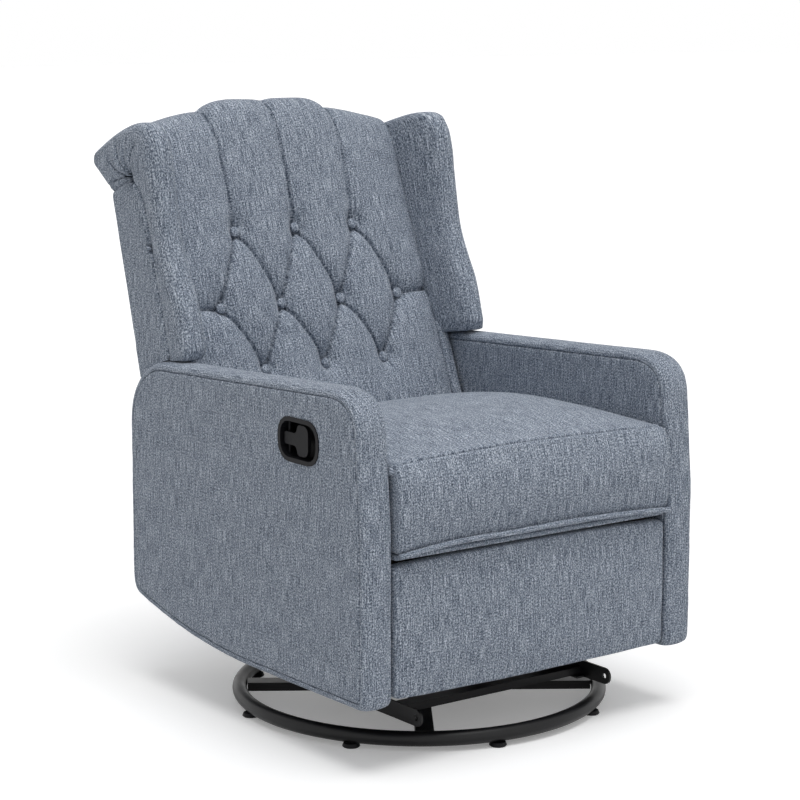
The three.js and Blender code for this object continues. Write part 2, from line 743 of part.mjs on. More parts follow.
// An angle bracket: a plate with both foot pivots and a flange against the board.
function footBracket(sign) {
  const outline = roundedOutline([
    [BRACKET_FRONT, 190, 2],
    [FOOT_PIVOT[0], FOOT_PIVOT[1] - 12, 12],
    [FOOT_PIVOT[0] + 12, FOOT_PIVOT[1], 10],
    [DRIVE_FOOT[0] + 12, DRIVE_FOOT[1] + 12, 11],
    [BRACKET_FRONT, DRIVE_FOOT[1] + 12, 2],
  ])
  const plate = slab(outline, sign, layerInner(1), layerOuter(1))
  const flangeWidth = 38
  const flangeHeight = DRIVE_FOOT[1] + 12 - 190
  const flange = block(
    flangeWidth,
    3,
    flangeHeight,
    sign * (layerOuter(1) - flangeWidth / 2),
    BRACKET_FRONT + 1.5,
    190 + flangeHeight / 2,
  )
  return fuse(
    plate,
    flange,
    rivet(sign, FOOT_PIVOT, layerInner(1) + 1, layerInner(2)),
    rivet(sign, DRIVE_FOOT, layerInner(1) + 1, layerInner(3)),
  )
}

function footPanel() {
  const height = FOOT_PANEL.topZ - FOOT_PANEL.bottomZ
  const size = new THREE.Vector3(2 * FOOT_PANEL.halfWidth, FOOT_PANEL.padding, height)
  const centre = new THREE.Vector3(0, FOOT_PANEL.frontY + size.y / 2, FOOT_PANEL.bottomZ + height / 2)
  const reshape = (point, place) => {
    point.z += 4 * (1 - place.x ** 2) * place.z
    point.y -= 4 * Math.max(0, -place.y) * (1 - place.x ** 4) * (1 - place.z ** 4)
  }
  return paddedBlock({ size, centre, radius: 12, segments: [12, 4, 8], reshape })
}

function footBoard() {
  const height = FOOT_PANEL.topZ - FOOT_PANEL.bottomZ - 12
  return block(
    2 * FOOT_PANEL.halfWidth - 8,
    FOOT_PANEL.board,
    height,
    0,
    (BOARD_FRONT + BOARD_REAR) / 2,
    FOOT_PANEL.bottomZ + 5 + height / 2,
  )
}

function addFootrest() {
  add(footrest, 'footrest_main_links', mainLinks(), blackMetal)
  for (const { name, sign } of SIDES) {
    add(footrest, `footrest_control_link_${name}`, controlLink(sign), blackMetal)
    add(footrest, `footrest_lift_link_${name}`, liftLink(sign), blackMetal)
    add(footrest, `footrest_drive_link_${name}`, driveLink(sign), blackMetal)
    add(footrest, `footrest_bracket_${name}`, footBracket(sign), blackMetal)
  }
  add(footrest, 'footrest_board', footBoard(), wood)
  add(footrest, 'footrest_panel', footPanel(), fabric)
}

// Back: board, tufted cushion that rolls over the top, wings and outside cover

const TUFTS = {
  spacing: 64.4,
  rows: [
    { z: 797, steps: [-2, 0, 2] },
    { z: 669, steps: [-3, -1, 1, 3] },
    { z: 560, steps: [-2, 0, 2] },
  ],
}
const BUTTONS = TUFTS.rows.flatMap(({ z, steps }, row) => (
  steps.map((step) => ({ x: step * TUFTS.spacing, z, row }))
))

// Pleats run between neighbouring buttons, up from the top row, and out from the outer ones.
const PLEATS = BUTTONS.flatMap(({ x, z, row }) => {
  const below = BUTTONS.filter((other) => other.row === row + 1 && Math.abs(other.x - x) < TUFTS.spacing * 1.1)
  const folds = below.map((other) => [x, z, other.x, other.z])
  if (row === 0) {
    folds.push([x, z, x, z + 160])
  }
  if (row === 1 && Math.abs(x) > TUFTS.spacing * 2) {
    folds.push([x, z, Math.sign(x) * BACK.cushionHalfWidth, z])
  }
  return folds
})

function distanceToFold(x, z, [startX, startZ, endX, endZ]) {
  const line = new THREE.Line3(new THREE.Vector3(startX, 0, startZ), new THREE.Vector3(endX, 0, endZ))
  const point = new THREE.Vector3(x, 0, z)
  return line.closestPointToPoint(point, true, new THREE.Vector3()).distanceTo(point)
}

function tuftDepth(x, z) {
  const fold = Math.max(...PLEATS.map((pleat) => Math.exp(-((distanceToFold(x, z, pleat) / 17) ** 2))))
  const button = Math.max(...BUTTONS.map((tuft) => (
    Math.exp(-((Math.hypot(x - tuft.x, z - tuft.z) / 26) ** 2))
  )))
  return 14 * fold + 20 * button
}

// The top of the back is a camel crown: high in the middle and stepped down at its sides.
function crownHeight(x) {
  const side = Math.abs(x)
  const middle = 95 - 6 * (side / 119) ** 2
  const shoulder = 77 - 23 * ((side - 137) / 117)
  const blend = THREE.MathUtils.smoothstep(side, 115, 145)
  return THREE.MathUtils.lerp(middle, shoulder, blend)
}

const rearFaceY = (z) => BACK.rearY + (z - BACK.rearZ) * BACK.rearSlope
const cushionRearY = (z) => rearFaceY(z) - BACK.coverThickness - BACK.frameThickness - 3 * GAP
const cushionFaceY = (z) => BACK.faceY + (z - BACK.faceZ) * BACK.faceSlope

function cushionRing(x) {
  const ring = []
  const face = (z) => {
    const sideDip = 10 * (Math.abs(x) / BACK.cushionHalfWidth) ** 6
    const bottomDip = 14 * Math.exp(-(((z - BACK.bottomZ) / 18) ** 2))
    ring.push(new THREE.Vector3(x, cushionFaceY(z) + tuftDepth(x, z) + sideDip + bottomDip, z))
  }
  const levels = [BACK.bottomZ, BACK.faceZ, TUFTS.rows[1].z, TUFTS.rows[0].z, BACK.rollZ]
  const counts = [4, 4, 5, 5]
  counts.forEach((count, span) => {
    for (let step = 0; step < count; step += 1) {
      face(THREE.MathUtils.lerp(levels[span], levels[span + 1], step / count))
    }
  })
  const turns = 11
  for (let step = 0; step <= turns; step += 1) {
    const angle = radians(180 - 265 * step / turns)
    const height = Math.sin(angle) > 0 ? crownHeight(x) : BACK.rollDrop
    const fold = 12 * Math.exp(-step) * tuftDepth(x, 900) / 14
    ring.push(new THREE.Vector3(
      x,
      BACK.rollY + BACK.rollDepth * Math.cos(angle) + fold,
      BACK.rollZ + height * Math.sin(angle),
    ))
  }
  const tuckZ = BACK.rollZ - BACK.rollDrop
  ring.push(new THREE.Vector3(x, cushionRearY(tuckZ), tuckZ))
  ring.push(new THREE.Vector3(x, cushionRearY(660), 660))
  ring.push(new THREE.Vector3(x, cushionRearY(BACK.bottomZ), BACK.bottomZ))
  return ring
}

function backCushion() {
  const stations = 32
  const rings = []
  for (let step = 0; step <= stations; step += 1) {
    const x = THREE.MathUtils.lerp(-BACK.cushionHalfWidth, BACK.cushionHalfWidth, step / stations)
    rings.push(cushionRing(x))
  }
  const hub = (x) => new THREE.Vector3(x, 430, 900)
  return loft(rings, hub(-BACK.cushionHalfWidth), hub(BACK.cushionHalfWidth))
}

// The wing's front edge swells forward, its roll end matches the cushion's, and its lower edge
// follows the top of the arm with clearance for reclining.
function wingRing(side, x) {
  const inset = (WING.outerX - x) / (WING.outerX - WING.innerX)
  const edge = THREE.MathUtils.smoothstep(x, WING.outerX - 10, WING.outerX)
  const innerEdge = THREE.MathUtils.smoothstep(WING.frontX - x, 0, WING.frontX - WING.innerX)
  const setBack = 8 * edge + 3 * inset + 36 * innerEdge
  const front = new THREE.CatmullRomCurve3([
    [223, 612], [245, 684], [269, 728], [298, 790], [322, 884], [338, 955], [362, 984],
  ].map(([y, z]) => new THREE.Vector3(0, y, z)))
  const ring = []
  const push = (y, z) => ring.push(new THREE.Vector3(side * x, y, z))
  front.getPoints(14).forEach((point) => push(point.y + setBack * (1 - 0.5 * (point.z - 612) / 370), point.z))
  push(434, 987 - 5 * edge)
  const turns = 9
  for (let step = 0; step <= turns; step += 1) {
    const angle = radians(80 - 165 * step / turns)
    const radius = 54 - 6 * edge
    push(BACK.rollY + (BACK.rollDepth - 6 * edge) * Math.cos(angle), BACK.rollZ + radius * Math.sin(angle))
  }
  push(rearFaceY(872), 872)
  push(rearFaceY(700), 700)
  push(rearFaceY(548), 548 + 6 * edge)
  push(347, 569 + 6 * edge)
  push(300, 592 + 4 * edge)
  push(240 + setBack, 600 + 2 * edge)
  return ring
}

function wing(sign) {
  const places = [WING.innerX + GAP, 270, 279, WING.frontX, 303, 316, 323, WING.outerX]
  const ordered = sign > 0 ? places : places.toReversed()
  const rings = ordered.map((x) => wingRing(sign, x))
  const hub = (x) => new THREE.Vector3(sign * x, 400, 880)
  const upper = loft(rings, hub(ordered[0]), hub(ordered.at(-1)))
  const tongue = roundedOutline([
    [cushionFaceY(445) + 12, 445, 12],
    [314, 445, 8],
    [345, 575, 4],
    [345, 620, 4],
    [cushionFaceY(620) + 12, 620, 4],
  ])
  return fuse(upper, slab(tongue, sign, WING.innerX + GAP, 282))
}

// Turns a flat outline (X across, Y up the slope) into a board that leans with the rear face.
function leaningBoard(outline, thickness, frontY, frontZ) {
  const geometry = new THREE.ExtrudeGeometry(outline, { depth: thickness, bevelEnabled: false })
  geometry.translate(0, 0, -thickness)
  geometry.rotateX(Math.PI / 2 - Math.atan(BACK.rearSlope))
  return geometry.translate(0, frontY, frontZ)
}

const leanLength = (height) => height * Math.hypot(1, BACK.rearSlope)
const BACK_FOOT_Z = 346
const LEAN = Math.atan(BACK.rearSlope)

function outsideBack() {
  const top = leanLength(BACK.rollZ - BACK.rollDrop - BACK_FOOT_Z - 8)
  const halfWidth = WING.innerX - GAP
  const outline = new THREE.Shape([
    new THREE.Vector2(-halfWidth, 0),
    new THREE.Vector2(halfWidth, 0),
    new THREE.Vector2(halfWidth, top),
    new THREE.Vector2(-halfWidth, top),
  ])
  const thickness = BACK.coverThickness * Math.cos(LEAN)
  return leaningBoard(outline, thickness, rearFaceY(BACK_FOOT_Z) - BACK.coverThickness, BACK_FOOT_Z)
}

// The timber back: wide between the arms, narrower between the wings.
function backBoard() {
  const top = leanLength(BACK.rollZ - BACK.rollDrop - BACK_FOOT_Z - 14)
  const shoulder = leanLength(530 - BACK_FOOT_Z)
  const wide = layerInner(1) - GAP
  const narrow = WING.innerX - GAP
  const outline = new THREE.Shape([
    [-wide, 0], [wide, 0], [wide, shoulder], [narrow, shoulder],
    [narrow, top], [-narrow, top], [-narrow, shoulder], [-wide, shoulder],
  ].map(([x, y]) => new THREE.Vector2(x, y)))
  const thickness = BACK.frameThickness * Math.cos(LEAN) - GAP
  const frontY = rearFaceY(BACK_FOOT_Z) - BACK.coverThickness - GAP - BACK.frameThickness
  return leaningBoard(outline, thickness, frontY, BACK_FOOT_Z)
}

// The hinge plate is screwed to the board's outer edge.
function reclineBracket(sign) {
  const { y, z } = RECLINE_PIVOT
  const outline = roundedOutline([
    [y - 15, z - 15, 14.5],
    [300, z - 18, 10],
    [cushionRearY(z) + 20, z - 12, 5],
    [cushionRearY(520) + 20, 520, 5],
    [cushionRearY(520) + 2, 520, 5],
    [cushionRearY(440), 434, 10],
    [300, 425, 15],
    [y - 15, z + 15, 14.5],
  ])
  outline.holes.push(holeThrough([y, z]))
  return slab(outline, sign, layerInner(1), layerOuter(1))
}

function addBackrest() {
  add(backrest, 'back_board', backBoard(), wood)
  add(backrest, 'back_cushion', backCushion(), fabric)
  add(backrest, 'outside_back', outsideBack(), fabric)
  for (const { name, sign } of SIDES) {
    add(backrest, `wing_${name}`, wing(sign), fabric)
    add(backrest, `recline_bracket_${name}`, reclineBracket(sign), blackMetal)
  }
}

addBase()
addGliderBase()
addSeatUnit()
addFootrest()
addBackrest()

export default chair
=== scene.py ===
"""Looks of the swivel glider recliner: upholstery, materials, light and camera, round the
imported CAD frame.

Shapes are worked out in millimetres from the swivel axis, as in the part's source, and are
moved to the row frame in metres when their mesh is made.
"""

import json
import math

import bpy
import numpy as np
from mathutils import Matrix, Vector, noise


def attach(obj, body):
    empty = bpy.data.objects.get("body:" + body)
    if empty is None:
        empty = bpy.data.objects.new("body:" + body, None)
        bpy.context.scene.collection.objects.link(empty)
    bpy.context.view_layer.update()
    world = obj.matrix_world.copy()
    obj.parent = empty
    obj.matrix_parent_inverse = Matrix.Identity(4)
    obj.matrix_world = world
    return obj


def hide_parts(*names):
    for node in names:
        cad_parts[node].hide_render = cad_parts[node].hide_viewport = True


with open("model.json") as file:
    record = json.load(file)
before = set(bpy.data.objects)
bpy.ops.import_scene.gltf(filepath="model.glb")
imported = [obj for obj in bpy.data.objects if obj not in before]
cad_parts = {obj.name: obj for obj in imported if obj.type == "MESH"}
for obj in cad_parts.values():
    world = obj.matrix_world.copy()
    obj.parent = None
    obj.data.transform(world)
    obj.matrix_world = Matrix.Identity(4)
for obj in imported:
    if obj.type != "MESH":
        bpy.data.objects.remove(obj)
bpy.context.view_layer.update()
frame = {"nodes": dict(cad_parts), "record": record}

AXIS_Y = -102.3
MM = 0.001
scene = bpy.context.scene


# Numbers and points


def ramp(value, low, high):
    """A smooth step from 0 at low to 1 at high."""
    share = np.clip((np.asarray(value, float) - low) / (high - low), 0.0, 1.0)
    return share * share * (3 - 2 * share)


def bell(distance, width):
    return np.exp(-((distance / width) ** 2))


def to_row(points):
    return (np.asarray(points, float) + (0.0, AXIS_Y, 0.0)) * MM


def from_row(points):
    return np.asarray(points, float) / MM - (0.0, AXIS_Y, 0.0)


def line(start, end, count):
    share = np.linspace(0, 1, count, endpoint=False)[:, None]
    return np.asarray(start, float) * (1 - share) + np.asarray(end, float) * share


def quadratic(start, control, end, count):
    share = np.linspace(0, 1, count, endpoint=False)[:, None]
    a, b, c = (np.asarray(p, float) for p in (start, control, end))
    return a * (1 - share) ** 2 + 2 * b * share * (1 - share) + c * share**2


def bezier(start, first, second, end, share):
    share = np.asarray(share, float)[:, None]
    rest = 1 - share
    a, b, c, d = (np.asarray(p, float) for p in (start, first, second, end))
    return a * rest**3 + 3 * b * share * rest**2 + 3 * c * share**2 * rest + d * share**3


def arc(centre, radius, start, end, count):
    angle = np.radians(np.linspace(start, end, count, endpoint=False))
    radii = np.broadcast_to(np.asarray(radius, float), (2,))
    return np.asarray(centre, float) + np.stack([np.cos(angle) * radii[0], np.sin(angle) * radii[1]], 1)


def smooth_curve(points, count):
    """Catmull-Rom curve through points, evenly spaced."""
    p = np.asarray(points, float)
    p = np.vstack([2 * p[0] - p[1], p, 2 * p[-1] - p[-2]])
    share = np.linspace(0, 1, 24, endpoint=False)[:, None]
    pieces = []
    for a, b, c, d in zip(p, p[1:], p[2:], p[3:]):
        pieces.append(
            0.5
            * (
                2 * b
                + (c - a) * share
                + (2 * a - 5 * b + 4 * c - d) * share**2
                + (3 * b - a - 3 * c + d) * share**3
            )
        )
    return resample(np.vstack([*pieces, p[-2:-1]]), count, closed=False)


def lengths_along(points, closed):
    run = np.vstack([points, points[:1]]) if closed else np.asarray(points)
    return np.concatenate([[0.0], np.cumsum(np.linalg.norm(np.diff(run, axis=0), axis=1))])


def resample(points, count, closed=True):
    run = np.vstack([points, points[:1]]) if closed else np.asarray(points)
    length = lengths_along(points, closed)
    at = np.linspace(0, length[-1], count, endpoint=not closed)
    return np.stack([np.interp(at, length, run[:, k]) for k in range(run.shape[1])], 1)


def relax(points, times):
    """Rounds the small kinks of a closed line."""
    for _ in range(times):
        points = 0.5 * points + 0.25 * (np.roll(points, 1, 0) + np.roll(points, -1, 0))
    return points


def inward_normals(outline):
    """Unit normals of a closed line in the plane, pointing inwards."""
    following = np.roll(outline, -1, 0)
    tangent = following - np.roll(outline, 1, 0)
    normal = np.stack([-tangent[:, 1], tangent[:, 0]], 1)
    normal /= np.linalg.norm(normal, axis=1)[:, None]
    area = np.sum(outline[:, 0] * following[:, 1] - following[:, 0] * outline[:, 1])
    return normal if area > 0 else -normal


def at_x(x, outline):
    """A side outline (y, z) as points at a place x across the chair."""
    return np.column_stack([np.full(len(outline), x), outline])


def distance_to_path(points, path):
    """Distance of each point in the plane to the nearest piece of an open path."""
    points = np.asarray(points, float)
    best = np.full(len(points), 1e9)
    for start, end in zip(path, path[1:]):
        way = np.asarray(end, float) - start
        share = np.clip(((points - start) @ way) / (way @ way), 0, 1)
        gap = np.linalg.norm(points - start - share[:, None] * way, axis=1)
        best = np.minimum(best, gap)
    return best


def unevenness(points, size, seed):
    """A smooth random value from -1 to 1 that varies over about size millimetres."""
    return np.array([noise.noise(Vector(p) / size + Vector((seed, 2.7 * seed, 0))) for p in points])


# Meshes

CLOTH_FRAMES = 20


def mesh_object(name, points, face_groups, weave_groups=None):
    """A smooth object from points in chair millimetres. A face group holds faces of one size, and
    its weave group gives each corner's place on the cloth, in millimetres."""
    points = to_row(points)
    from_centre = points - points.mean(0)
    volume = 0.0
    for group in face_groups:
        for k in range(1, group.shape[1] - 1):
            a, b, c = (from_centre[group[:, index]] for index in (0, k, k + 1))
            volume += np.sum(a * np.cross(b, c))
    way = 1 if volume > 0 else -1
    faces = [face for group in face_groups for face in group[:, ::way].tolist()]
    mesh = bpy.data.meshes.new(name)
    mesh.from_pydata(points.tolist(), [], faces)
    if weave_groups is not None:
        flat = np.concatenate([group[:, ::way].reshape(-1, 2) for group in weave_groups]) * MM
        mesh.uv_layers.new(name="weave").data.foreach_set("uv", flat.ravel())
    mesh.polygons.foreach_set("use_smooth", [True] * len(mesh.polygons))
    obj = bpy.data.objects.new(name, mesh)
    scene.collection.objects.link(obj)
    return obj


def ring_quads(rows, steps, closed=False):
    """Quads between neighbouring rings of points, and each quad's row and step."""
    bands = rows if closed else rows - 1
    row, step = (grid.ravel() for grid in np.meshgrid(np.arange(bands), np.arange(steps), indexing="ij"))
    base, after, turn = row * steps, (row + 1) % rows * steps, (step + 1) % steps
    return np.stack([base + step, base + turn, after + turn, after + step], 1), row, step


def end_fans(rows, steps):
    """Triangles that close the first and last ring round two hubs, the points after the rings."""
    first, last, base = rows * steps, rows * steps + 1, (rows - 1) * steps
    step = np.arange(steps)
    turn = (step + 1) % steps
    return np.vstack(
        [
            np.stack([np.full(steps, first), turn, step], 1),
            np.stack([np.full(steps, last), base + step, base + turn], 1),
        ]
    )


def skin(name, rings, hubs, side_bands=(), hard_ends=()):
    """A closed skin over rings of points, with a fan round a hub at each end. The weave runs
    along the rings, and upright on the bands between rings that are side_bands. The ring at each
    of hard_ends (0 first, -1 last) is a hard edge, so that the flat end keeps its own shading."""
    rings = np.asarray(rings, float)
    rows, steps = rings.shape[:2]
    points = np.vstack([rings.reshape(-1, 3), hubs])
    along = lengths_along(rings[rows // 2], closed=True)
    across = lengths_along(rings[:, steps // 3], closed=False)
    quads, row, step = ring_quads(rows, steps)
    u = np.stack([across[row], across[row], across[row + 1], across[row + 1]], 1)
    v = np.stack([along[step], along[step + 1], along[step + 1], along[step]], 1)
    weave = np.stack([u, v], 2)
    upright = np.isin(row, list(side_bands))
    weave[upright] = points[quads[upright]][:, :, 1:]
    fans = end_fans(rows, steps)
    obj = mesh_object(name, points, [quads, fans], [weave, points[fans][:, :, 1:]])
    edges = np.zeros(2 * len(obj.data.edges), np.int32)
    obj.data.edges.foreach_get("vertices", edges)
    edge_rows = edges.reshape(-1, 2) // steps
    hard = np.zeros(len(edge_rows), bool)
    for end in hard_ends:
        hard |= (edge_rows == end % rows).all(1)
    obj.data.attributes.new("sharp_edge", "BOOLEAN", "EDGE").data.foreach_set("value", hard)
    return obj


def denser(rings, times):
    """Halves the spacing of rings of points both ways, along smooth curves through them."""
    rings = np.asarray(rings, float)
    for _ in range(times):
        before, after = np.roll(rings, 1, 1), np.roll(rings, -1, 1)
        between = (9 * (rings + after) - before - np.roll(rings, -2, 1)) / 16
        rings = np.stack([rings, between], 2).reshape(len(rings), -1, rings.shape[2])
        lined = np.concatenate([2 * rings[:1] - rings[1:2], rings, 2 * rings[-1:] - rings[-2:-1]])
        between = (9 * (lined[1:-2] + lined[2:-1]) - lined[:-3] - lined[3:]) / 16
        woven = np.empty((2 * len(rings) - 1, *rings.shape[1:]))
        woven[::2], woven[1::2] = rings, between
        rings = woven
    return rings


def block_grid(size, centre, radius, cell):
    """Points and quads of a rounded block with even cells, and each point's place from -1 to 1."""
    half = np.asarray(size, float) / 2
    counts = [max(2, round(length / cell)) for length in size]
    index, places, faces = {}, [], []

    def corner(key):
        if key not in index:
            index[key] = len(places)
            places.append([2 * k / n - 1 for k, n in zip(key, counts)])
        return index[key]

    for axis in range(3):
        one, two = (axis + 1) % 3, (axis + 2) % 3
        for level in (0, counts[axis]):
            for i in range(counts[one]):
                for j in range(counts[two]):
                    quad = []
                    for di, dj in ((0, 0), (1, 0), (1, 1), (0, 1)):
                        key = [0, 0, 0]
                        key[axis], key[one], key[two] = level, i + di, j + dj
                        quad.append(corner(tuple(key)))
                    faces.append(tuple(quad if level else quad[::-1]))
    places = np.array(places)
    flat = places * half
    core = np.clip(flat, -(half - radius), half - radius)
    outward = flat - core
    reach = np.linalg.norm(outward, axis=1)
    scale = np.where(reach > radius, radius / np.maximum(reach, 1e-9), 1.0)
    return core + outward * scale[:, None] + centre, np.array(faces), places


def upright_weave(points, faces):
    """Cloth grid for a block: the warp goes up the front and over the top."""
    p = points[faces]
    normal = np.abs(np.cross(p[:, 2] - p[:, 0], p[:, 3] - p[:, 1]))
    weave = np.stack([p[:, :, 0], p[:, :, 1] + p[:, :, 2]], 2)
    ends = normal[:, 0] > 1.5 * np.maximum(normal[:, 1], normal[:, 2])
    weave[ends] = p[ends][:, :, 1:]
    return weave


def read_points(obj):
    points = np.zeros(len(obj.data.vertices) * 3, np.float32)
    obj.data.vertices.foreach_get("co", points)
    return from_row(points.reshape(-1, 3))


def read_normals(obj):
    normals = np.zeros(len(obj.data.vertices) * 3, np.float32)
    obj.data.vertices.foreach_get("normal", normals)
    return normals.reshape(-1, 3)


def write_points(obj, points):
    obj.data.vertices.foreach_set("co", to_row(points).astype(np.float32).ravel())
    obj.data.update()


def displace(obj, amount):
    """Moves each point along its normal by amount(points, normals) millimetres."""
    points, normals = read_points(obj), read_normals(obj)
    write_points(obj, points + normals * amount(points, normals)[:, None])


def settle(obj):
    """Keeps the mesh that the modifiers make, without the modifiers."""
    graph = bpy.context.evaluated_depsgraph_get()
    shown = obj.evaluated_get(graph)
    mesh = bpy.data.meshes.new_from_object(shown, preserve_all_data_layers=True, depsgraph=graph)
    obj.modifiers.clear()
    obj.data = mesh


def refine(obj, levels):
    obj.modifiers.new("Subdivision", "SUBSURF").levels = levels
    settle(obj)
    obj.data.polygons.foreach_set("use_smooth", [True] * len(obj.data.polygons))


def inflate(obj, held, pressure, cap, half_width):
    """Swells a padded piece by a short cloth simulation. held is 1 where the cover is sewn or
    fixed; no point moves further than cap millimetres, or past half_width in X."""
    before = read_points(obj)
    group = obj.vertex_groups.new(name="held")
    steps = 20
    levels = np.round(np.clip(held, 0, 1) * steps) / steps
    for level in np.unique(levels):
        if level > 0:
            group.add([int(i) for i in np.flatnonzero(levels == level)], float(level), "REPLACE")
    cloth = obj.modifiers.new("Cloth", "CLOTH")
    settings = cloth.settings
    settings.quality = 6
    settings.mass = 0.25
    settings.tension_stiffness = 18
    settings.compression_stiffness = 18
    settings.shear_stiffness = 6
    settings.bending_stiffness = 1.5
    settings.air_damping = 2
    settings.use_pressure = True
    settings.uniform_pressure_force = pressure
    settings.vertex_group_mass = "held"
    settings.effector_weights.gravity = 0
    cloth.point_cache.frame_start = 1
    cloth.point_cache.frame_end = CLOTH_FRAMES
    for number in range(1, CLOTH_FRAMES + 1):
        scene.frame_set(number)
    settle(obj)
    scene.frame_set(1)
    move = read_points(obj) - before
    reach = np.linalg.norm(move, axis=1)
    move *= (np.minimum(reach, cap) / np.maximum(reach, 1e-6))[:, None]
    after = before + move
    after[:, 0] = np.clip(after[:, 0], -half_width, half_width)
    write_points(obj, after)
    obj.vertex_groups.clear()


def tube(name, path, radius, sides=12, closed=False):
    """A round tube along a path of chair points."""
    path = np.asarray(path, float)
    if closed:
        tangent = np.roll(path, -1, 0) - np.roll(path, 1, 0)
    else:
        tangent = np.gradient(path, axis=0)
    tangent /= np.linalg.norm(tangent, axis=1)[:, None]
    side = np.cross(tangent, (0.0, 0.0, 1.0))
    flat = np.linalg.norm(side, axis=1) < 0.2
    side[flat] = np.cross(tangent[flat], (0.0, 1.0, 0.0))
    side /= np.linalg.norm(side, axis=1)[:, None]
    up = np.cross(side, tangent)
    angle = np.linspace(0, 2 * math.pi, sides, endpoint=False)
    rings = path[:, None] + radius * (
        np.cos(angle)[None, :, None] * side[:, None] + np.sin(angle)[None, :, None] * up[:, None]
    )
    count = len(path)
    along = lengths_along(path, closed)
    around = np.linspace(0, 2 * math.pi * radius, sides + 1)
    quads, row, step = ring_quads(count, sides, closed)
    u = np.stack([around[step], around[step + 1], around[step + 1], around[step]], 1)
    v = np.stack([along[row], along[row], along[row + 1], along[row + 1]], 1)
    groups, weave = [quads], [np.stack([u, v], 2)]
    points = rings.reshape(-1, 3)
    if not closed:
        points = np.vstack([points, path[0], path[-1]])
        groups.append(end_fans(count, sides))
        weave.append(np.zeros((2 * sides, 3, 2)))
    return mesh_object(name, points, groups, weave)


# Materials


class Nodes:
    """Builds the node tree of a material or world with short calls."""

    def __init__(self, owner):
        self.owner = owner
        self.owner.use_nodes = True
        self.tree = self.owner.node_tree
        self.shader = self.tree.nodes.get("Principled BSDF")

    def add(self, kind, inputs=None, **settings):
        node = self.tree.nodes.new(kind)
        for key, value in settings.items():
            setattr(node, key, value)
        for key, value in (inputs or {}).items():
            self.put(node.inputs[key], value)
        return node

    def put(self, socket, value):
        if isinstance(value, bpy.types.NodeSocket):
            self.tree.links.new(value, socket)
        else:
            socket.default_value = value

    def math(self, operation, first, second=0.0):
        return self.add("ShaderNodeMath", {0: first, 1: second}, operation=operation).outputs[0]

    def scaled(self, vector, scale):
        return self.add("ShaderNodeVectorMath", {0: vector, 1: scale}, operation="MULTIPLY").outputs[0]

    def noise(self, vector, scale, detail=2.0, roughness=0.5):
        inputs = {"Vector": vector, "Scale": scale, "Detail": detail, "Roughness": roughness}
        return self.add("ShaderNodeTexNoise", inputs).outputs["Fac"]

    def span(self, value, low, high):
        """A value from 0 to 1 spread over low to high."""
        return self.add("ShaderNodeMapRange", {"Value": value, "To Min": low, "To Max": high}).outputs[0]

    def seen_directly(self):
        """1 for rays from the camera and those that gloss or glass sends on, 0 for other light."""
        rays = self.add("ShaderNodeLightPath")
        seen = self.math("MAXIMUM", rays.outputs["Is Camera Ray"], rays.outputs["Is Glossy Ray"])
        return self.math("MAXIMUM", seen, rays.outputs["Is Transmission Ray"])

    def colour_ramp(self, value, stops):
        node = self.add("ShaderNodeValToRGB", {"Fac": value})
        elements = node.color_ramp.elements
        while len(elements) < len(stops):
            elements.new(0.5)
        for element, (place, colour) in zip(elements, stops):
            element.position = place
            element.color = (*colour, 1.0)
        return node.outputs["Color"]

    def surface(self, **values):
        for key, value in values.items():
            self.put(self.shader.inputs[key.replace("_", " ")], value)

    def bump(self, height, strength, distance):
        node = self.add("ShaderNodeBump", {"Height": height, "Strength": strength, "Distance": distance})
        self.put(self.shader.inputs["Normal"], node.outputs["Normal"])


def linear(*srgb):
    """A colour written as 0-255 values."""
    return tuple((v / 255 / 12.92) if v <= 10 else ((v / 255 + 0.055) / 1.055) ** 2.4 for v in srgb)


def woven_fabric():
    """Heathered upholstery cloth: slubby streaks along the warp, fine threads and pale flecks."""
    n = Nodes(bpy.data.materials.new("heathered_cloth"))
    warp_step, weft_step = 0.0012, 0.0013
    grid = n.add("ShaderNodeUVMap", uv_map="weave").outputs["UV"]
    streaks = n.noise(n.scaled(grid, (620.0, 30.0, 1.0)), 1.0, 1.0, 0.5)
    fine = n.noise(n.scaled(grid, (420.0, 330.0, 1.0)), 1.0, 2.0, 0.8)
    wide = n.noise(n.scaled(grid, (45.0, 12.0, 1.0)), 1.0, 3.0, 0.6)
    split = n.add("ShaderNodeSeparateXYZ", {"Vector": grid})
    warp = n.math("SINE", n.math("MULTIPLY", split.outputs["X"], 2 * math.pi / warp_step))
    weft = n.math("SINE", n.math("MULTIPLY", split.outputs["Y"], 2 * math.pi / weft_step))
    threads = n.math("MULTIPLY", warp, weft)
    tone = n.math("ADD", n.math("MULTIPLY", streaks, 0.27), n.math("MULTIPLY", fine, 0.68))
    tone = n.math("ADD", tone, n.math("MULTIPLY", wide, 0.05))
    tone = n.math("ADD", tone, n.math("MULTIPLY", threads, 0.02))
    colour = n.colour_ramp(
        tone,
        [
            (0.38, linear(62, 71, 86)),
            (0.46, linear(106, 116, 131)),
            (0.53, linear(149, 159, 173)),
            (0.61, linear(212, 219, 230)),
        ],
    )
    height = n.math("ADD", n.math("MULTIPLY", threads, 0.35), n.math("MULTIPLY", fine, 0.9))
    n.surface(Base_Color=colour, Roughness=0.92, Specular_IOR_Level=0.2)
    n.surface(Sheen_Weight=0.12, Sheen_Roughness=0.5)
    n.bump(height, 0.4, 0.0005)
    return n.owner


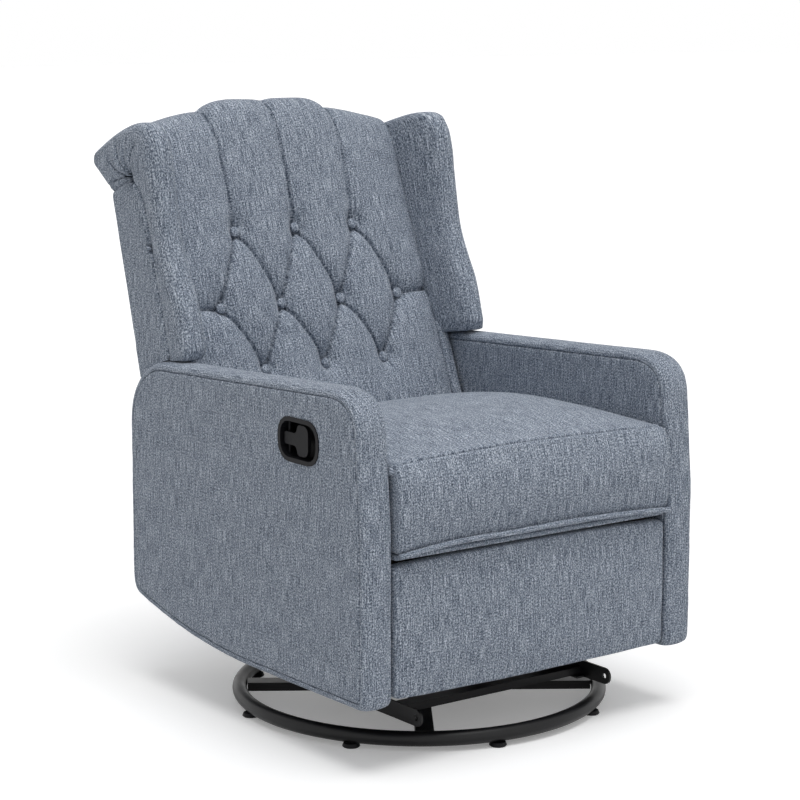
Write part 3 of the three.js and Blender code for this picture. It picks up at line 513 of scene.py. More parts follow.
def black_paint():
    """Gloss black paint over steel, with a little orange peel and uneven gloss."""
    n = Nodes(bpy.data.materials.new("black_paint"))
    place = n.add("ShaderNodeTexCoord").outputs["Object"]
    peel = n.noise(place, 900.0, 1.0)
    gloss = n.noise(place, 35.0, 3.0)
    dust = n.noise(place, 12.0, 4.0, 0.65)
    colour = n.colour_ramp(dust, [(0.3, linear(12, 12, 14)), (0.8, linear(22, 22, 24))])
    roughness = n.span(gloss, 0.3, 0.46)
    n.surface(Base_Color=colour, Roughness=roughness, Specular_IOR_Level=0.28)
    n.bump(peel, 0.12, 0.0003)
    return n.owner


def black_plastic():
    """Satin moulded plastic with a fine spark-eroded grain."""
    n = Nodes(bpy.data.materials.new("black_plastic"))
    place = n.add("ShaderNodeTexCoord").outputs["Object"]
    grain = n.noise(place, 2600.0, 2.0)
    wear = n.noise(place, 60.0, 3.0)
    colour = n.colour_ramp(wear, [(0.3, linear(12, 12, 15)), (0.75, linear(21, 21, 25))])
    roughness = n.span(wear, 0.42, 0.58)
    n.surface(Base_Color=colour, Roughness=roughness, Specular_IOR_Level=0.16)
    n.bump(grain, 0.25, 0.0002)
    return n.owner


def bare_steel():
    n = Nodes(bpy.data.materials.new("bare_steel"))
    place = n.add("ShaderNodeTexCoord").outputs["Object"]
    brushed = n.noise(n.scaled(place, (300.0, 300.0, 2500.0)), 1.0, 3.0)
    colour = n.colour_ramp(brushed, [(0.3, linear(120, 121, 124)), (0.7, linear(172, 173, 176))])
    roughness = n.span(brushed, 0.3, 0.5)
    n.surface(Base_Color=colour, Roughness=roughness, Metallic=1.0)
    n.bump(brushed, 0.15, 0.0002)
    return n.owner


def plain_wood():
    """Dark-stained plywood: long grain across the chair."""
    n = Nodes(bpy.data.materials.new("plain_wood"))
    place = n.add("ShaderNodeTexCoord").outputs["Object"]
    grain = n.noise(n.scaled(place, (6.0, 160.0, 160.0)), 1.0, 4.0, 0.6)
    rings = n.noise(n.scaled(place, (1.5, 22.0, 22.0)), 1.0, 3.0)
    tone = n.math("ADD", n.math("MULTIPLY", grain, 0.6), n.math("MULTIPLY", rings, 0.4))
    stains = [(0.3, linear(36, 29, 24)), (0.5, linear(54, 43, 35)), (0.7, linear(72, 58, 47))]
    colour = n.colour_ramp(tone, stains)
    n.surface(Base_Color=colour, Roughness=0.75)
    n.bump(grain, 0.3, 0.0004)
    return n.owner


SLOT_MATERIALS = {
    "fabric": woven_fabric(),
    "black_metal": black_paint(),
    "black_plastic": black_plastic(),
    "steel": bare_steel(),
    "wood": plain_wood(),
}


def finish_piece(obj, body, slot, replaced=()):
    """Gives a piece its slot's material and its body, and hides the CAD nodes it replaces."""
    obj.data.materials.clear()
    obj.data.materials.append(SLOT_MATERIALS[slot])
    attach(obj, body)
    if replaced:
        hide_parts(*replaced)


def dress_frame():
    """CAD nodes that stay: each gets its slot's material and softly bevelled edges."""
    for sub in frame["record"]["subparts"]:
        obj = frame["nodes"][sub["node"]]
        if sub["material_slot"] == "fabric":
            continue
        obj.data.materials.clear()
        obj.data.materials.append(SLOT_MATERIALS[sub["material_slot"]])
        bevel = obj.modifiers.new("Edges", "BEVEL")
        bevel.width = 0.0006
        bevel.segments = 2
        bevel.limit_method = "ANGLE"
        bevel.angle_limit = math.radians(40)


# Arms: a boxing strip with a side panel sewn in on either side

ARM_INNER, ARM_OUTER = 287.0, 347.5
ARM_MIDDLE = (30.0, 350.0)


def arm_outline():
    front, rear, bottom = -316.0, 391.0, 106.0
    shoulder, nose = (-228, 606), (-303, 546)
    rear_arc, radius = (274.0, 468.0), 115
    lift = math.pi / 2 - 0.04
    arc_end = (rear_arc[0] + radius * math.cos(lift), rear_arc[1] + radius * math.sin(lift))
    pieces = [
        line((front + 16, bottom), (0, bottom), 60),
        quadratic((0, bottom), (rear / 2, bottom), (rear - 18, bottom + 52), 60),
        quadratic((rear - 18, bottom + 52), (rear + 1, bottom + 60), (rear, bottom + 90), 16),
        line((rear, bottom + 90), (rear_arc[0] + radius, rear_arc[1]), 60),
        arc(rear_arc, radius, 0, math.degrees(lift), 50),
        line(arc_end, shoulder, 90),
        bezier(shoulder, (-271, 605), (-299, 586), nose, np.arange(40) / 40),
        line(nose, (front, 390), 40),
        line((front, 390), (front, bottom + 16), 60),
        quadratic((front, bottom + 16), (front, bottom), (front + 16, bottom), 14),
    ]
    return relax(resample(np.vstack(pieces), 560), 5)


def arm_rings():
    """Rings from the inner face to the outer face, and the bands of the two side panels."""
    outline = arm_outline()
    inward = inward_normals(outline)
    corner = 9.0
    rim = outline + 15.0 * inward

    def panel(face_x, outwards):
        rows = []
        for share in (0.9, 0.8, 0.7, 0.6, 0.52, 0.44, 0.37, 0.3, 0.24, 0.18, 0.13, 0.09, 0.06, 0.04, 0.02):
            sink = 0.8 * math.exp(-share / 0.05)
            rows.append(at_x(face_x - outwards * sink, rim + (ARM_MIDDLE - rim) * share))
        for inset, sink in ((14.0, 0.9), (13.2, 1.6), (12.6, 4.6), (11.8, 4.6), (11.2, 1.9), (10.0, 1.5)):
            rows.append(at_x(face_x - outwards * sink, outline + inset * inward))
        return rows

    def turn(face_x, outwards):
        rows = []
        for angle in (4, 16, 28, 40, 52, 64, 76, 87):
            away = corner * (1 - math.sin(math.radians(90 - angle)))
            inset = corner * (1 - math.sin(math.radians(angle)))
            rows.append(at_x(face_x - outwards * (away + 1.5), outline + inset * inward))
        return rows

    strip = []
    for share in np.linspace(-1, 1, 17):
        x = (ARM_INNER + ARM_OUTER) / 2 + share * ((ARM_OUTER - ARM_INNER) / 2 - corner - 1.5)
        strip.append(at_x(x, outline - (0.4 + 1.8 * (1 - share**2)) * inward))
    inner_side = panel(ARM_INNER, -1)
    outer_side = panel(ARM_OUTER, 1)[::-1]
    rings = [*inner_side, *turn(ARM_INNER, -1), *strip, *turn(ARM_OUTER, 1)[::-1], *outer_side]
    seam_row = len(inner_side) - 3
    sides = set(range(seam_row)) | set(range(len(rings) - 1 - seam_row, len(rings)))
    return np.array(rings), sides


def rounded_rectangle(y, z, length, height, radius):
    pieces = []
    for side_y, side_z, start in ((1, 1, 0), (-1, 1, 90), (-1, -1, 180), (1, -1, 270)):
        centre = (y + side_y * (length / 2 - radius), z + side_z * (height / 2 - radius))
        pieces.append(arc(centre, radius, start, start + 90, 12))
    return np.vstack(pieces)


def prism(name, outline, x_from, x_to):
    """A straight block across the chair with the given side outline."""
    count = len(outline)
    points = np.vstack([at_x(x_from, outline), at_x(x_to, outline)])
    step = np.arange(count)
    turn = (step + 1) % count
    walls = np.stack([step, turn, count + turn, count + step], 1)
    ends = np.stack([step[::-1], count + step])
    return mesh_object(name, points, [walls, ends])


HANDLE = {"y": -143.0, "z": 512.5, "length": 114.0, "height": 73.0, "depth": 30.0}


def cut_pocket(obj):
    """The hole in the right arm that the handle's cup sits in."""
    rim = 9.4
    size = (HANDLE["length"] - rim, HANDLE["height"] - rim)
    outline = rounded_rectangle(HANDLE["y"], HANDLE["z"], *size, 25)
    tool = prism("pocket_tool", outline, -ARM_OUTER - 20, -ARM_OUTER + HANDLE["depth"] + 0.3)
    boolean = obj.modifiers.new("Pocket", "BOOLEAN")
    boolean.operation = "DIFFERENCE"
    boolean.solver = "EXACT"
    boolean.object = tool
    settle(obj)
    obj.data.set_sharp_from_angle(angle=math.radians(60))
    bpy.data.objects.remove(tool)


def make_arm(side, sign):
    rings, sides = arm_rings()
    rings[:, :, 0] *= sign
    hubs = [(sign * ARM_INNER, *ARM_MIDDLE), (sign * ARM_OUTER, *ARM_MIDDLE)]
    obj = skin(f"arm_{side}_cover", rings, hubs, sides)

    def drape(points, normals):
        flat = np.abs(normals[:, 0])
        near_cup = bell(np.hypot(points[:, 1] - HANDLE["y"], points[:, 2] - HANDLE["z"]), 90)
        slow = unevenness(points, 70, 3 + sign)
        quick = unevenness(points * (1, 1.6, 1.6), 16, 7 + sign)
        along_seam = bell(np.abs(points[:, 0]) - (ARM_OUTER - 4), 5)
        return (0.5 * slow - 0.5 * flat) * (1 - 0.9 * near_cup * flat) + 0.45 * quick * along_seam

    if sign < 0:
        cut_pocket(obj)
    displace(obj, drape)
    finish_piece(obj, "seat_unit", "fabric", [f"arm_{side}"])


# Seat: a box cushion with a crowned top, a front band sewn to it and a thick cord along its hem

SEAT_FRONT, SEAT_REAR, SEAT_BOTTOM, SEAT_HALF = -326.0, 208.0, 350.0, 284.0
SEAT_CORNER = 12.0
SEAT_RINGS = 112
HEM_RISE = 10.5
SEAM_ROW = 20


def seat_outline(share):
    """Side outline at a place across the cushion, from -1 to 1: up the band, over the top and back
    under. Its points lie close together beside the seam, which is point SEAM_ROW."""
    seam = np.array([-307.0, 500 - 8 * share**2])
    hem = np.array([SEAT_FRONT + 2, 355 + HEM_RISE * (1 - share**4)])
    below = [0.6, 1.2, 2, 3, 4.5, 6.5, 9, 13, 18, 24, 31, 39, 48, 58, 68, 77, 85, 91, 95, 98]
    band = bezier(seam, seam + (-19, -2), hem + (-14, 80), hem, np.array(below[::-1]) / 100)
    behind = [0, 0.25, 0.5, 0.9, 1.4, 2, 3, 4.2, 6, 8.5, 12, 16, 21, 28, *range(36, 90, 9), 89, 95, 99]
    behind = np.array(behind) / 100
    y = seam[0] + behind * (SEAT_REAR - 8 - seam[0])
    fall = np.maximum(0, y + 50) * 0.107
    dome = 22 * (1 - share**4) * (1 - (2 * behind - 1) ** 4)
    z = 496 - fall + dome + (seam[1] - 496) * (1 - behind) ** 6
    rear = line((SEAT_REAR, z[-1] - 9), (SEAT_REAR, SEAT_BOTTOM + 6), 9)
    under = line((SEAT_REAR - 5, SEAT_BOTTOM), (SEAT_FRONT + 16, SEAT_BOTTOM), 16)
    lip = line((SEAT_FRONT + 13, SEAT_BOTTOM + 0.5), hem, 3)
    return np.vstack([band, np.stack([y, z], 1), rear, under, lip])


def seat_rings():
    """Rings across the cushion, rounded over at both ends."""
    turns = np.radians([4, 18, 34, 50, 66, 80])
    reach = SEAT_HALF - SEAT_CORNER * (1 - np.cos(turns))
    inset = SEAT_CORNER * (1 - np.sin(turns))
    flat = np.linspace(-SEAT_HALF + SEAT_CORNER, SEAT_HALF - SEAT_CORNER, SEAT_RINGS)
    x = np.concatenate([-reach, flat, reach[::-1]])
    inset = np.concatenate([inset, np.zeros(SEAT_RINGS), inset[::-1]])
    rings = []
    for place, depth in zip(x, inset):
        outline = seat_outline(place / SEAT_HALF)
        rings.append(at_x(place, outline + depth * inward_normals(outline)))
    return np.array(rings)


def make_seat():
    rings = seat_rings()
    hubs = [(-SEAT_HALF, -60.0, 420.0), (SEAT_HALF, -60.0, 420.0)]
    obj = skin("seat_swelling", rings, hubs)
    points = rings.reshape(-1, 3)
    seam = np.tile(rings[:, SEAM_ROW], (1, rings.shape[1])).reshape(-1, 3)
    held = bell(np.linalg.norm(points - seam, axis=1), 6)
    held = np.maximum(held, ramp(np.abs(points[:, 0]), SEAT_HALF - 16, SEAT_HALF - 6))
    held = np.maximum(held, 1 - ramp(points[:, 2], 362, 378))
    inflate(obj, np.append(held, (1.0, 1.0)), 3.0, 9, half_width=SEAT_HALF)
    rings = denser(read_points(obj)[:-2].reshape(rings.shape), 1)
    bpy.data.objects.remove(obj)
    obj = skin("seat_cushion_cover", rings, hubs)
    seam = np.tile(rings[:, 2 * SEAM_ROW], (1, rings.shape[1])).reshape(-1, 3)
    seam = np.vstack([seam, (0, 0, 0), (0, 0, 0)])

    def drape(points, normals):
        off_seam = np.linalg.norm((points - seam)[:, 1:], axis=1)
        groove = -6.0 * bell(off_seam, 2.0) + 1.2 * bell(off_seam - 8, 5)
        puckers = unevenness(points * (1.5, 0.5, 0.5), 13, 5) * bell(off_seam - 9, 9)
        slow = 0.9 * unevenness(points, 85, 11)
        return groove + puckers + slow

    displace(obj, drape)
    finish_piece(obj, "seat_unit", "fabric", ["seat_cushion"])


def make_seat_cord():
    x = np.linspace(-SEAT_HALF + 1, SEAT_HALF - 1, 150)
    share = x / SEAT_HALF
    z = SEAT_BOTTOM + HEM_RISE * (1 - share**4) + 0.8 * np.sin(x / 37)
    y = SEAT_FRONT - 3.5 + 3.5 * np.abs(share) ** 6 + 0.6 * np.sin(x / 23 + 1)
    obj = tube("seat_cord", np.stack([x, y, z], 1), 4.6)
    finish_piece(obj, "seat_unit", "fabric")


def make_front_rail():
    points, faces, _ = block_grid((566, 48, 9.6), np.array([0.0, -290.0, 344.9]), 4.5, 4.0)
    obj = mesh_object("front_rail_cover", points, [faces], [upright_weave(points, faces)])
    refine(obj, 1)
    finish_piece(obj, "seat_unit", "fabric", ["front_rail"])


# Footrest: one padded panel between the arms


def make_footrest():
    size = np.array([568.0, 33.0, 216.0])
    centre = np.array([0.0, -317 + size[1] / 2, 116 + size[2] / 2])
    points, faces, place = block_grid(size, centre, 11.0, 6.0)
    x, y, z = place.T
    points[:, 2] += 4 * (1 - x**2) * z
    obj = mesh_object("footrest_cover", points, [faces], [upright_weave(points, faces)])
    held = np.maximum(ramp(y, 0.0, 0.8), 0.6 * ramp(np.maximum(np.abs(x), np.abs(z)), 0.95, 1.0))
    inflate(obj, held, 2.6, 6, half_width=284.5)
    refine(obj, 1)

    def drape(points, normals):
        ends = bell(np.abs(points[:, 0]) - 284, 30)
        return 0.6 * unevenness(points, 60, 21) + 0.7 * ends * unevenness(points * (0.5, 1, 2.4), 26, 23)

    displace(obj, drape)
    finish_piece(obj, "footrest", "fabric", ["footrest_panel"])


# Back: tufted cushion with a rolled top

HALF_BACK, BACK_BOTTOM = 261.7, 440.0
BACK_HUBS = [(-HALF_BACK, 425.0, 862.0), (HALF_BACK, 425.0, 862.0)]
FACE_SLOPE, REAR_SLOPE = 0.41, 0.28
BOARD_DEPTH = 32.9
ROLL = {"y": 488.0, "z": 925.0, "depth": 47.0, "drop": 47.0}
CROWN_START, SIDE_FALL = 850.0, 19.0
TUFT_STEP = 64.4
TUFT_ROWS = ((797.0, (-2, 0, 2)), (669.0, (-3, -1, 1, 3)), (560.0, (-2, 0, 2)))
BUTTONS = [(step * TUFT_STEP, z, row) for row, (z, steps) in enumerate(TUFT_ROWS) for step in steps]
BUTTON_DEPTH = 20.5

# How far up the cover a point lies, in millimetres: the roll ends below COVER_END, and all points
# of the hidden rear have REAR_LEVEL.
COVER_END, REAR_LEVEL = 1250.0, 1400.0


def face_y(z):
    return 262 + (np.asarray(z, float) - 560) * FACE_SLOPE


def rear_y(z):
    return 380 + (np.asarray(z, float) - 542) * REAR_SLOPE


def side_fall(x):
    """How far the face falls back towards the sides of the cushion."""
    return SIDE_FALL * (abs(x) / HALF_BACK) ** 7


def crown_height(x):
    """The camel crown above the roll: two high middle channels, then a step down to the sides."""
    side = np.abs(x)
    middle = 94 - 14 * (side / 129) ** 6 - 2 * bell(side, 14)
    shoulder = 77 - 23 * (side - 137) / 117
    blend = ramp(side, 122, 140)
    return middle * (1 - blend) + shoulder * blend


def pleats():
    """Fold lines in the flat of the face, each a path of points (x, height up the face)."""
    folds = []
    for x, z, row in BUTTONS:
        for other_x, other_z, other_row in BUTTONS:
            if other_row == row + 1 and abs(other_x - x) < TUFT_STEP * 1.1:
                bow = 2.5 * np.sign(other_x - x)
                share = np.linspace(0, 1, 9)
                path_x = x + (other_x - x) * share + bow * np.sin(math.pi * share)
                folds.append(np.stack([path_x, z + (other_z - z) * share], 1))
        if row == 0:
            share = np.linspace(0, 1, 12)
            folds.append(np.stack([x + 0.06 * x * share, z + 250 * share], 1))
        if row == 1 and abs(x) > TUFT_STEP * 2:
            folds.append(np.array([(x, z), (np.sign(x) * (HALF_BACK + 10), z - 3)]))
    return folds


def soft_folds():
    """Shallow pleats that run down from the lowest buttons."""
    return [np.array([(x, z), (x * 1.03, z - 75)]) for x, z, row in BUTTONS if row == 2]


def crown_line(x, count):
    """From the face over to the top of the crown at a place x across the cushion, as (y, z)."""
    share = abs(x) / HALF_BACK
    start = np.array([face_y(CROWN_START) + side_fall(x), CROWN_START])
    top = np.array([ROLL["y"], ROLL["z"] + crown_height(x) * (1 - 0.06 * share**10)])
    rise = 0.62 * (top[1] - start[1])
    return bezier(start, start + (FACE_SLOPE * rise, rise), top - (50, 0), top, np.linspace(0, 1, count))


def back_rings(stations, face_steps, roll_steps):
    """Rings of the cushion across the chair, and for each point how far up the cover it is."""
    rings, heights = [], []
    tuck_z = ROLL["z"] - ROLL["drop"]
    for x in np.linspace(-HALF_BACK, HALF_BACK, stations):
        z = np.linspace(BACK_BOTTOM, CROWN_START, face_steps, endpoint=False)
        y = face_y(z) + side_fall(x) + 12 * bell(z - BACK_BOTTOM, 14)
        face = np.stack([y, z], 1)
        crown = crown_line(x, roll_steps)
        angle = np.radians(np.linspace(86, -30, roll_steps))
        high = np.where(np.sin(angle) > 0, crown[-1, 1] - ROLL["z"], ROLL["drop"])
        around = np.stack([ROLL["depth"] * np.cos(angle), high * np.sin(angle)], 1)
        over = (ROLL["y"], ROLL["z"]) + around
        rear_z = np.linspace(tuck_z, BACK_BOTTOM, 12)
        down = np.stack([rear_y(rear_z) - BOARD_DEPTH, rear_z], 1)
        rings.append(at_x(x, np.vstack([face, crown, over, down])))
        run = CROWN_START + lengths_along(np.vstack([crown, over]), closed=False)
        heights.append(np.concatenate([z, run, np.full(len(down), REAR_LEVEL)]))
    return np.array(rings), np.array(heights)


def tuft_sink(x, height):
    """How deep the pleats and buttons pull the cover in, in millimetres, before any fine crease."""
    flat = np.stack([x, height], 1)
    valley = np.zeros(len(flat))
    for path in pleats():
        valley = np.maximum(valley, np.exp(-distance_to_path(flat, path) / 13))
    for path in soft_folds():
        fade = ramp(height, 480, 550)
        valley = np.maximum(valley, 0.45 * fade * np.exp(-distance_to_path(flat, path) / 14))
    button = np.zeros(len(flat))
    for button_x, button_z, _ in BUTTONS:
        across, up = x - button_x, height - button_z
        dimple = bell(np.hypot(across, up), 18) + 0.5 * bell(np.hypot(across, 0.6 * (up - 12)), 24)
        button = np.maximum(button, np.minimum(dimple, 1.15))
    top_fade = 1 - 0.55 * ramp(height, 820, 980)
    return (11.5 * valley * top_fade + 14 * button) * (height < REAR_LEVEL)


def tufted(rings, heights):
    """Pulls the cover in along the pleats and at the buttons."""
    along = np.roll(rings, -1, 1) - np.roll(rings, 1, 1)
    outward = np.cross((1.0, 0.0, 0.0), along)
    outward /= np.linalg.norm(outward, axis=2)[:, :, None]
    sink = tuft_sink(rings[:, :, 0].ravel(), heights.ravel()).reshape(heights.shape)
    return rings - outward * sink[:, :, None]


def swollen_back(rings, heights):
    """The cushion's rings after a cloth simulation that holds it at its pleats, buttons and edges."""
    obj = skin("back_swelling", rings, BACK_HUBS)
    plane = np.stack([rings[:, :, 0].ravel(), heights.ravel()], 1)
    held = np.zeros(len(plane))
    for path in pleats():
        held = np.maximum(held, 0.9 * bell(distance_to_path(plane, path), 8))
    held = np.maximum(held, ramp(np.abs(plane[:, 0]), HALF_BACK - 10, HALF_BACK))
    held = np.maximum(held, 1 - ramp(plane[:, 1], BACK_BOTTOM, BACK_BOTTOM + 14))
    held[plane[:, 1] == REAR_LEVEL] = 1.0
    inflate(obj, np.append(held, (1.0, 1.0)), 2.4, 9, half_width=HALF_BACK)
    after = read_points(obj)[:-2].reshape(rings.shape)
    bpy.data.objects.remove(obj)
    return after


def make_back():
    rings, heights = back_rings(91, 74, 34)
    rings = swollen_back(tufted(rings, heights), heights)
    fine = denser(np.concatenate([rings, heights[:, :, None]], 2), 2)
    obj = skin("back_cushion_cover", fine[:, :, :3], BACK_HUBS, hard_ends=(0, -1))
    crease_back(obj, np.append(fine[:, :, 3].ravel(), (REAR_LEVEL, REAR_LEVEL)))
    finish_piece(obj, "backrest", "fabric", ["back_cushion"])


def crease_back(obj, heights):
    """Fine creases along the pleats, and slight unevenness."""

    def drape(points, normals):
        plane = np.stack([points[:, 0], heights], 1)
        shown = heights < COVER_END
        crease = np.zeros(len(points))
        for path in pleats():
            crease = np.maximum(crease, bell(distance_to_path(plane, path), 2.0))
        fade = 1 - 0.2 * ramp(heights, 960, 1180)
        slow = 1.0 * unevenness(points, 45, 31)
        return (slow - 6.5 * crease * fade) * shown

    displace(obj, drape)


def make_button(index, x, z):
    """A cloth-covered button: a low dome with a rounded rim, set in its tuft."""
    lean = math.atan(FACE_SLOPE)
    outward = np.array([0.0, -math.cos(lean), math.sin(lean)])
    up = np.array([0.0, math.sin(lean), math.cos(lean)])
    across = np.array([1.0, 0.0, 0.0])
    centre = np.array([x, float(face_y(z)), z]) - outward * BUTTON_DEPTH
    top, bottom = 4.6, -4.0
    profile = [(3.6, 4.4), (6.5, 3.6), (8.6, 2.1), (9.5, 0.2), (8.8, -2.0), (5.0, -3.4)]
    sides = 28
    turn = np.linspace(0, 2 * math.pi, sides, endpoint=False)
    around = np.cos(turn)[:, None] * across + np.sin(turn)[:, None] * up
    rings = [centre + around * radius + outward * rise for radius, rise in profile]
    points = np.vstack([*rings, centre + outward * top, centre + outward * bottom])
    groups = [ring_quads(len(rings), sides)[0], end_fans(len(rings), sides)]
    weave = [points[group][:, :, [0, 2]] for group in groups]
    obj = mesh_object(f"back_button_{index + 1}", points, groups, weave)
    finish_piece(obj, "backrest", "fabric")


# Wings: a padded wrap round the front edge, an outer panel and a gathered roll end

WING_INNER, WING_FORE, WING_OUTER = 262.3, 311.0, 328.0
PINCH = np.array([404.0, 893.0])
NOSE = {"y": 517.0, "z": 918.0, "radius": 19.0}
NECK_Z, FOOT_Z = 862.0, 542.0
FRONT_STEPS, TOP_STEPS = 150, 50


def wing_ring(x):
    """Side outline of a wing at a distance x from the middle of the chair."""
    inner = np.clip((WING_FORE - x) / (WING_FORE - WING_INNER), 0, 1)
    outer = np.clip((x - WING_FORE) / (WING_OUTER - WING_FORE), 0, 1)
    edge = [(222, 607), (245, 684), (269, 728), (296, 790), (314, 884), (326, 950), (348, 983)]
    front = smooth_curve(edge, FRONT_STEPS)
    beside = np.vstack([[(face_y(612) + SIDE_FALL, 612)], crown_line(WING_INNER, 40)[:-12]])
    front += (resample(beside, FRONT_STEPS, closed=False) - front) * inner**4
    roll = arc((NOSE["y"], NOSE["z"]), NOSE["radius"], 62, -58, 90)
    reach = roll[0, 0] - front[-1, 0]
    bends = [front[-1] + reach * np.array(bend) for bend in ((0.22, 0.11), (0.58, -0.04))]
    top = bezier(front[-1], *bends, roll[0], np.arange(TOP_STEPS) / TOP_STEPS)
    neck = (float(rear_y(NECK_Z)), NECK_Z)
    foot = (float(rear_y(FOOT_Z)), FOOT_Z)
    heel, hem = (347, 558), (300, 581.5)
    rest = [
        roll,
        quadratic(roll[-1], (491, 878), neck, 30),
        line(neck, foot, 120),
        line(foot, heel, 16),
        line(heel, hem, 20),
        line(hem, (front[0, 0] + 8, 591), 24),
    ]
    rest = np.vstack(rest)
    depth = np.where(rest[:, 1] < 600, 0.1, np.where(rest[:, 1] < NECK_Z, 0.2, 0.35))
    outline = np.vstack([front[:-1], top, rest])
    soft = np.concatenate([np.ones(FRONT_STEPS - 1), np.linspace(1, 0.35, TOP_STEPS), depth])
    round_off = 24 * (1 - math.sqrt(1 - outer**2)) * soft
    return relax(outline + round_off[:, None] * inward_normals(outline), 4)


def make_wing(side, sign):
    fore = np.linspace(WING_INNER, WING_FORE, 13)
    turn = WING_FORE + (WING_OUTER - WING_FORE) * np.sin(np.radians([14, 27, 40, 52, 63, 73, 81, 87, 90]))
    places = [*fore, *turn]
    rings = [at_x(x, wing_ring(x)) for x in places]
    outer = rings[-1][:, 1:]
    for share in np.linspace(0, 1, 36, endpoint=False)[1:]:
        rings.append(at_x(WING_OUTER, outer + (PINCH - outer) * share))
    rings = denser(np.array(rings), 1)
    rings[:, :, 0] *= sign
    hubs = [(sign * WING_INNER, 435.0, 850.0), (sign * WING_OUTER, *PINCH)]
    sides = range(2 * len(places) - 2, len(rings))
    obj = skin(f"wing_{side}_cover", rings, hubs, sides, hard_ends=(0,))
    seam = smooth_curve([(283, 586), (304, 662), (327, 730), (345, 800), (368, NECK_Z), PINCH], 40)
    gathers = [
        PINCH + smooth_curve([(0, 0), *bends], 12)
        for bends in (
            [(14, 24), (16, 48), (8, 66)],
            [(-2, 26), (-10, 46), (-22, 60)],
            [(30, 24), (44, 50), (46, 66)],
            [(40, 8), (66, 22), (84, 44)],
            [(36, -3), (64, -12), (88, -26)],
            [(30, -14), (54, -24), (76, -34)],
        )
    ]

    def drape(points, normals):
        flat = points[:, 1:]
        outer_side = ramp(np.abs(points[:, 0]), 320, 326)
        off_seam = distance_to_path(flat, seam)
        groove = -4.6 * bell(off_seam, 2.4) - 1.6 * bell(off_seam, 9)
        reach = np.hypot(*(flat - PINCH).T)
        swell = 4.0 * ramp(reach, 6, 40) * (1 - ramp(reach, 50, 95)) * ramp(flat[:, 1], 880, 915)
        fold = np.zeros(len(flat))
        for path in gathers:
            away = distance_to_path(flat, path)
            fold = np.maximum(fold, (bell(away, 1.7) + 0.55 * bell(away, 6)) * (1 - ramp(reach, 62, 84)))
        shape = groove + swell - 4.2 * fold - 6 * bell(reach, 7)
        slow = 0.7 * unevenness(points, 60, 41 + sign)
        return outer_side * shape + slow * ramp(np.abs(points[:, 0]), 264, 275)

    displace(obj, drape)
    finish_piece(obj, "backrest", "fabric", [f"wing_{side}"])


def make_wing_tongue(side, sign):
    """The padded strip that fills the gap between the cushion and the arm, below the wing."""
    bottom, top, recess = 445, 606, 12
    front_foot, front_top = ((float(face_y(z)) + recess, z) for z in (bottom, top))
    outline = np.array([front_foot, (316, bottom), (345, 575), (345, top), front_top])
    outline = relax(resample(outline, 120), 6)
    middle = outline.mean(0)
    places = ((262.4, 3.0), (263.6, 1.0), (266, 0.0), (278, 0.0), (280.6, 1.0), (281.8, 3.0))
    rings = [at_x(sign * x, outline + inset * inward_normals(outline)) for x, inset in places]
    hubs = [(sign * places[0][0], *middle), (sign * places[-1][0], *middle)]
    obj = skin(f"wing_{side}_tongue", rings, hubs)
    finish_piece(obj, "backrest", "fabric")


# Outside back and rear panel: cloth over boards


def covered_board(name, half_width, corners, body, node):
    """A thin upholstered board: corners are its side outline (y, z)."""
    outline = relax(resample(np.array(corners, float), 160), 3)
    inward = inward_normals(outline)
    middle = outline.mean(0)
    edge = ((0.0, 3.0), (0.9, 0.9), (3.0, 0.0))
    rings = [at_x(-half_width + away, outline + inset * inward) for away, inset in edge]
    rings += [at_x(x, outline) for x in np.linspace(-half_width + 8, half_width - 8, 40)]
    rings += [at_x(half_width - away, outline + inset * inward) for away, inset in edge[::-1]]
    hubs = [(-half_width, *middle), (half_width, *middle)]
    obj = skin(name, rings, hubs)
    displace(obj, lambda points, normals: 0.5 * unevenness(points, 70, 51) * np.abs(normals[:, 1]))
    finish_piece(obj, body, "fabric", [node])


def make_rear():
    foot, top = 346.0, 872.0
    covered_board(
        "outside_back_cover",
        HALF_BACK,
        [(rear_y(foot) - 10, foot), (rear_y(foot), foot), (rear_y(top), top), (rear_y(top) - 10, top)],
        "backrest",
        "outside_back",
    )
    covered_board(
        "rear_panel_cover",
        286.5,
        [(368, 132), (380, 132), (380, 368), (368, 368)],
        "seat_unit",
        "rear_panel",
    )


# Base ring: a smooth tube


def make_ring():
    radius, height, tube_radius = 313, 20.0, 12.7
    angle = np.linspace(0, 2 * math.pi, 220, endpoint=False)
    path = np.stack([radius * np.cos(angle), radius * np.sin(angle), np.full_like(angle, height)], 1)
    obj = tube("base_ring_tube", path, tube_radius, sides=28, closed=True)
    finish_piece(obj, "base", "black_metal", ["base_ring"])


# Stage: floor, light and camera


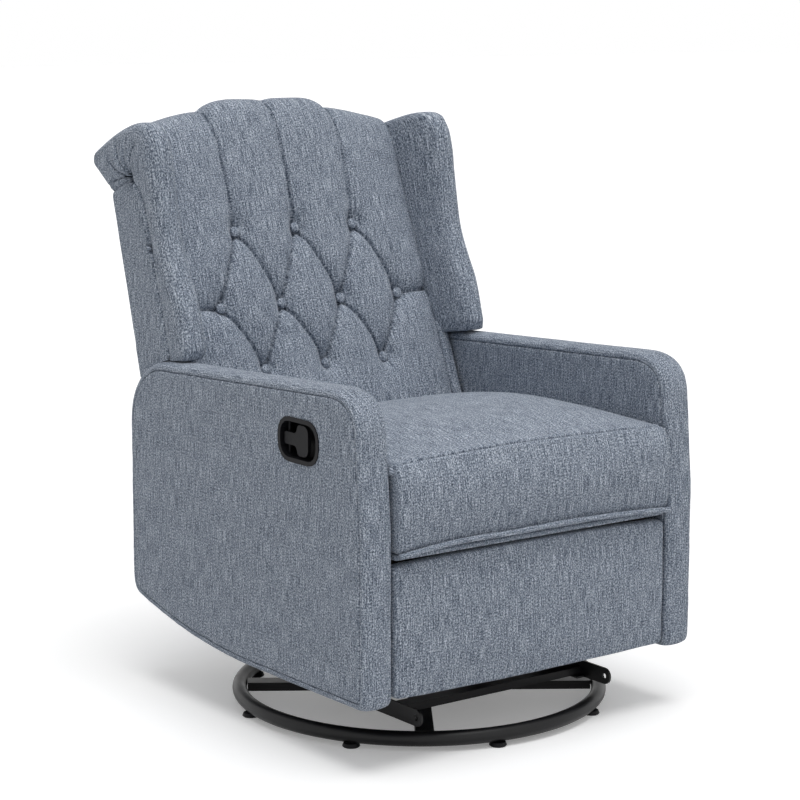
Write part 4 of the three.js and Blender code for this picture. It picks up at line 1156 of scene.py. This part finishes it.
def make_floor():
    """A white floor: bright where it is seen, duller where it only sends light to the chair."""
    reach = 30.0
    corners = [(reach * x, reach * y, 0) for x, y in ((-1, -1), (1, -1), (1, 1), (-1, 1))]
    mesh = bpy.data.meshes.new("floor")
    mesh.from_pydata(corners, [], [(0, 1, 2, 3)])
    obj = bpy.data.objects.new("floor", mesh)
    scene.collection.objects.link(obj)
    n = Nodes(bpy.data.materials.new("floor_white"))
    seen = n.seen_directly()
    n.surface(Base_Color=n.span(seen, 0.64, 0.93), Roughness=0.6)
    glow = n.add("ShaderNodeEmission", {"Strength": n.math("MULTIPLY", seen, 0.22)})
    both = n.add("ShaderNodeAddShader", {0: n.shader.outputs[0], 1: glow.outputs[0]})
    output = next(node for node in n.tree.nodes if node.type == "OUTPUT_MATERIAL")
    n.tree.links.new(both.outputs[0], output.inputs["Surface"])
    mesh.materials.append(n.owner)


def make_world():
    """White surroundings: bright where they are seen, dimmer as light on the chair."""
    world = bpy.data.worlds.new("studio")
    scene.world = world
    n = Nodes(world)
    background = n.tree.nodes["Background"]
    n.put(background.inputs["Color"], (1, 1, 1, 1))
    n.put(background.inputs["Strength"], n.span(n.seen_directly(), 0.43, 1.0))


def sun(name, source, angle, strength):
    """A broad, even lamp that shines from the direction of source."""
    light = bpy.data.lights.new(name, "SUN")
    light.angle = math.radians(angle)
    light.energy = strength
    obj = bpy.data.objects.new(name, light)
    scene.collection.objects.link(obj)
    obj.location = Vector(source)
    obj.rotation_euler = (-Vector(source)).to_track_quat("-Z", "Y").to_euler()


def make_camera():
    """The photograph's camera, fitted to the base ring, the arms and the back."""
    azimuth, elevation = math.radians(-36.571), math.radians(9.803)
    back = Vector(
        (
            math.sin(azimuth) * math.cos(elevation),
            -math.cos(azimuth) * math.cos(elevation),
            math.sin(elevation),
        )
    )
    data = bpy.data.cameras.new("camera")
    data.sensor_width = 36.0
    data.lens = 107.33
    data.clip_end = 100.0
    obj = bpy.data.objects.new("camera", data)
    scene.collection.objects.link(obj)
    obj.location = (-2.42653, -3.31723, 1.21885)
    obj.rotation_mode = "QUATERNION"
    obj.rotation_quaternion = (-back).to_track_quat("-Z", "Y")
    scene.camera = obj


make_camera()
make_world()
make_floor()
sun("overhead", (-0.1, -0.45, 3.0), 36, 1.65)
sun("front", (0.3, -2.0, 1.0), 60, 0.26)
scene.view_settings.view_transform = "Standard"

dress_frame()
for side, sign in (("right", -1), ("left", 1)):
    make_arm(side, sign)
    make_wing(side, sign)
    make_wing_tongue(side, sign)
make_seat()
make_seat_cord()
make_front_rail()
make_footrest()
make_back()
for index, (x, z, _) in enumerate(BUTTONS):
    make_button(index, x, z)
make_rear()
make_ring()
